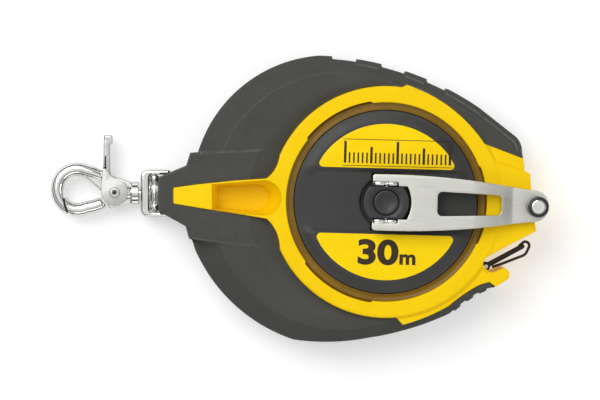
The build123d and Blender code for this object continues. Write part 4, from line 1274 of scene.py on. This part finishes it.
def build_clip():
    eye = [
        (1.25, 27.4), (1.5, 27.2), (2.5, 27.2), (2.7, 27.5),
        (2.7, 30.5), (2.5, 30.8), (1.5, 30.8), (1.25, 30.6)
    ]
    bar_run = lift(path((61.6, -37.75), (81.9, -26.8), spacing=0.8))
    leg = tube(bar_run, [1.55] * len(bar_run), 24)
    piece("clip_leg", "clip", ["clip_bar"], "black_wire", lathe(eye, *CLIP_EYE, 40), leg, angle=34)
    curl = path(
        (80.4, -26.2), (81.9, -25), ((85.2, -24.4), (85.9, -27.4)), (84.6, -30.2),
        ((83.4, -31.7), (81.6, -32.6)), (69.5, -37.3), (64.6, -38.9), spacing=0.5
    )
    wire = tube(lift(curl), [0.85] * len(curl), 18)
    piece("clip_loop", "clip", ["clip_wire"], "black_wire", wire, angle=34)


build_clip()


# ------------------------------------------------------------------ the CAD nodes that stay
for part in frame["record"]["subparts"]:
    node = frame["nodes"][part["node"]]
    node.data.materials.clear()
    node.data.materials.append(MATERIALS[part["material_slot"]])


# ------------------------------------------------------------------ ground, light, camera
def ground():
    mesh = bpy.data.meshes.new("ground")
    size = 3.0
    mesh.from_pydata(
        [(-size, -size, -0.0004), (size, -size, -0.0004), (size, size, -0.0004), (-size, size, -0.0004)],
        [], [(0, 1, 2, 3)]
    )
    mesh.materials.append(pale_ground())
    plane = bpy.data.objects.new("ground", mesh)
    bpy.context.scene.collection.objects.link(plane)


def soft_box(name, place, target, size, power):
    light = bpy.data.lights.new(name, "AREA")
    light.shape = "RECTANGLE"
    light.size, light.size_y = size
    light.energy = power
    holder = bpy.data.objects.new(name, light)
    holder.location = place
    holder.rotation_euler = (Vector(target) - Vector(place)).to_track_quat("-Z", "Y").to_euler()
    bpy.context.scene.collection.objects.link(holder)


def sky():
    """Bands of white and grey by height for the metal to reflect; dark at and under the horizon."""
    world = bpy.data.worlds.new("studio")
    world.use_nodes = True
    tree = world.node_tree
    background = tree.nodes["Background"]
    place = tree.nodes.new("ShaderNodeTexCoord")
    split = tree.nodes.new("ShaderNodeSeparateXYZ")
    ramp = tree.nodes.new("ShaderNodeValToRGB")
    tree.links.new(place.outputs["Generated"], split.inputs[0])
    tree.links.new(split.outputs["Z"], ramp.inputs["Fac"])
    tree.links.new(ramp.outputs["Color"], background.inputs["Color"])
    stops = (
        (0, 0.03), (0.32, 0.04), (0.42, 0.9), (0.58, 0.95), (0.68, 0.24), (0.89, 0.36), (0.97, 1),
        (0.984, 1), (0.994, 0.85), (1, 0.85)
    )
    while len(ramp.color_ramp.elements) < len(stops):
        ramp.color_ramp.elements.new(0.5)
    for element, (where, tone) in zip(ramp.color_ramp.elements, stops):
        element.position = where
        element.color = (tone, tone, tone, 1)
    background.inputs["Strength"].default_value = 0.9
    bpy.context.scene.world = world


ground()
sky()
middle = (-0.05, 0, 0.03)
soft_box("key", (-0.55, 0.6, 1.1), middle, (1, 1), 12.5)
soft_box("fill", (1.2, -0.1, 0.5), middle, (0.8, 1), 4)
soft_box("low", (0.1, -0.9, 0.7), middle, (1, 0.4), 1.5)

AIM = (-0.0511, 0.0009, 0.025)
RANGE = 1.8
LEAN = math.radians(1.5)
lens = bpy.data.cameras.new("camera")
lens.sensor_width = 36.0
lens.lens = 180.0
lens.clip_end = 20.0
camera = bpy.data.objects.new("camera", lens)
camera.location = (AIM[0], AIM[1] + RANGE * math.sin(LEAN), AIM[2] + RANGE * math.cos(LEAN))
camera.rotation_euler = (-LEAN, 0, 0)
bpy.context.scene.collection.objects.link(camera)
bpy.context.scene.camera = camera
bpy.context.scene.view_settings.view_transform = "Standard"
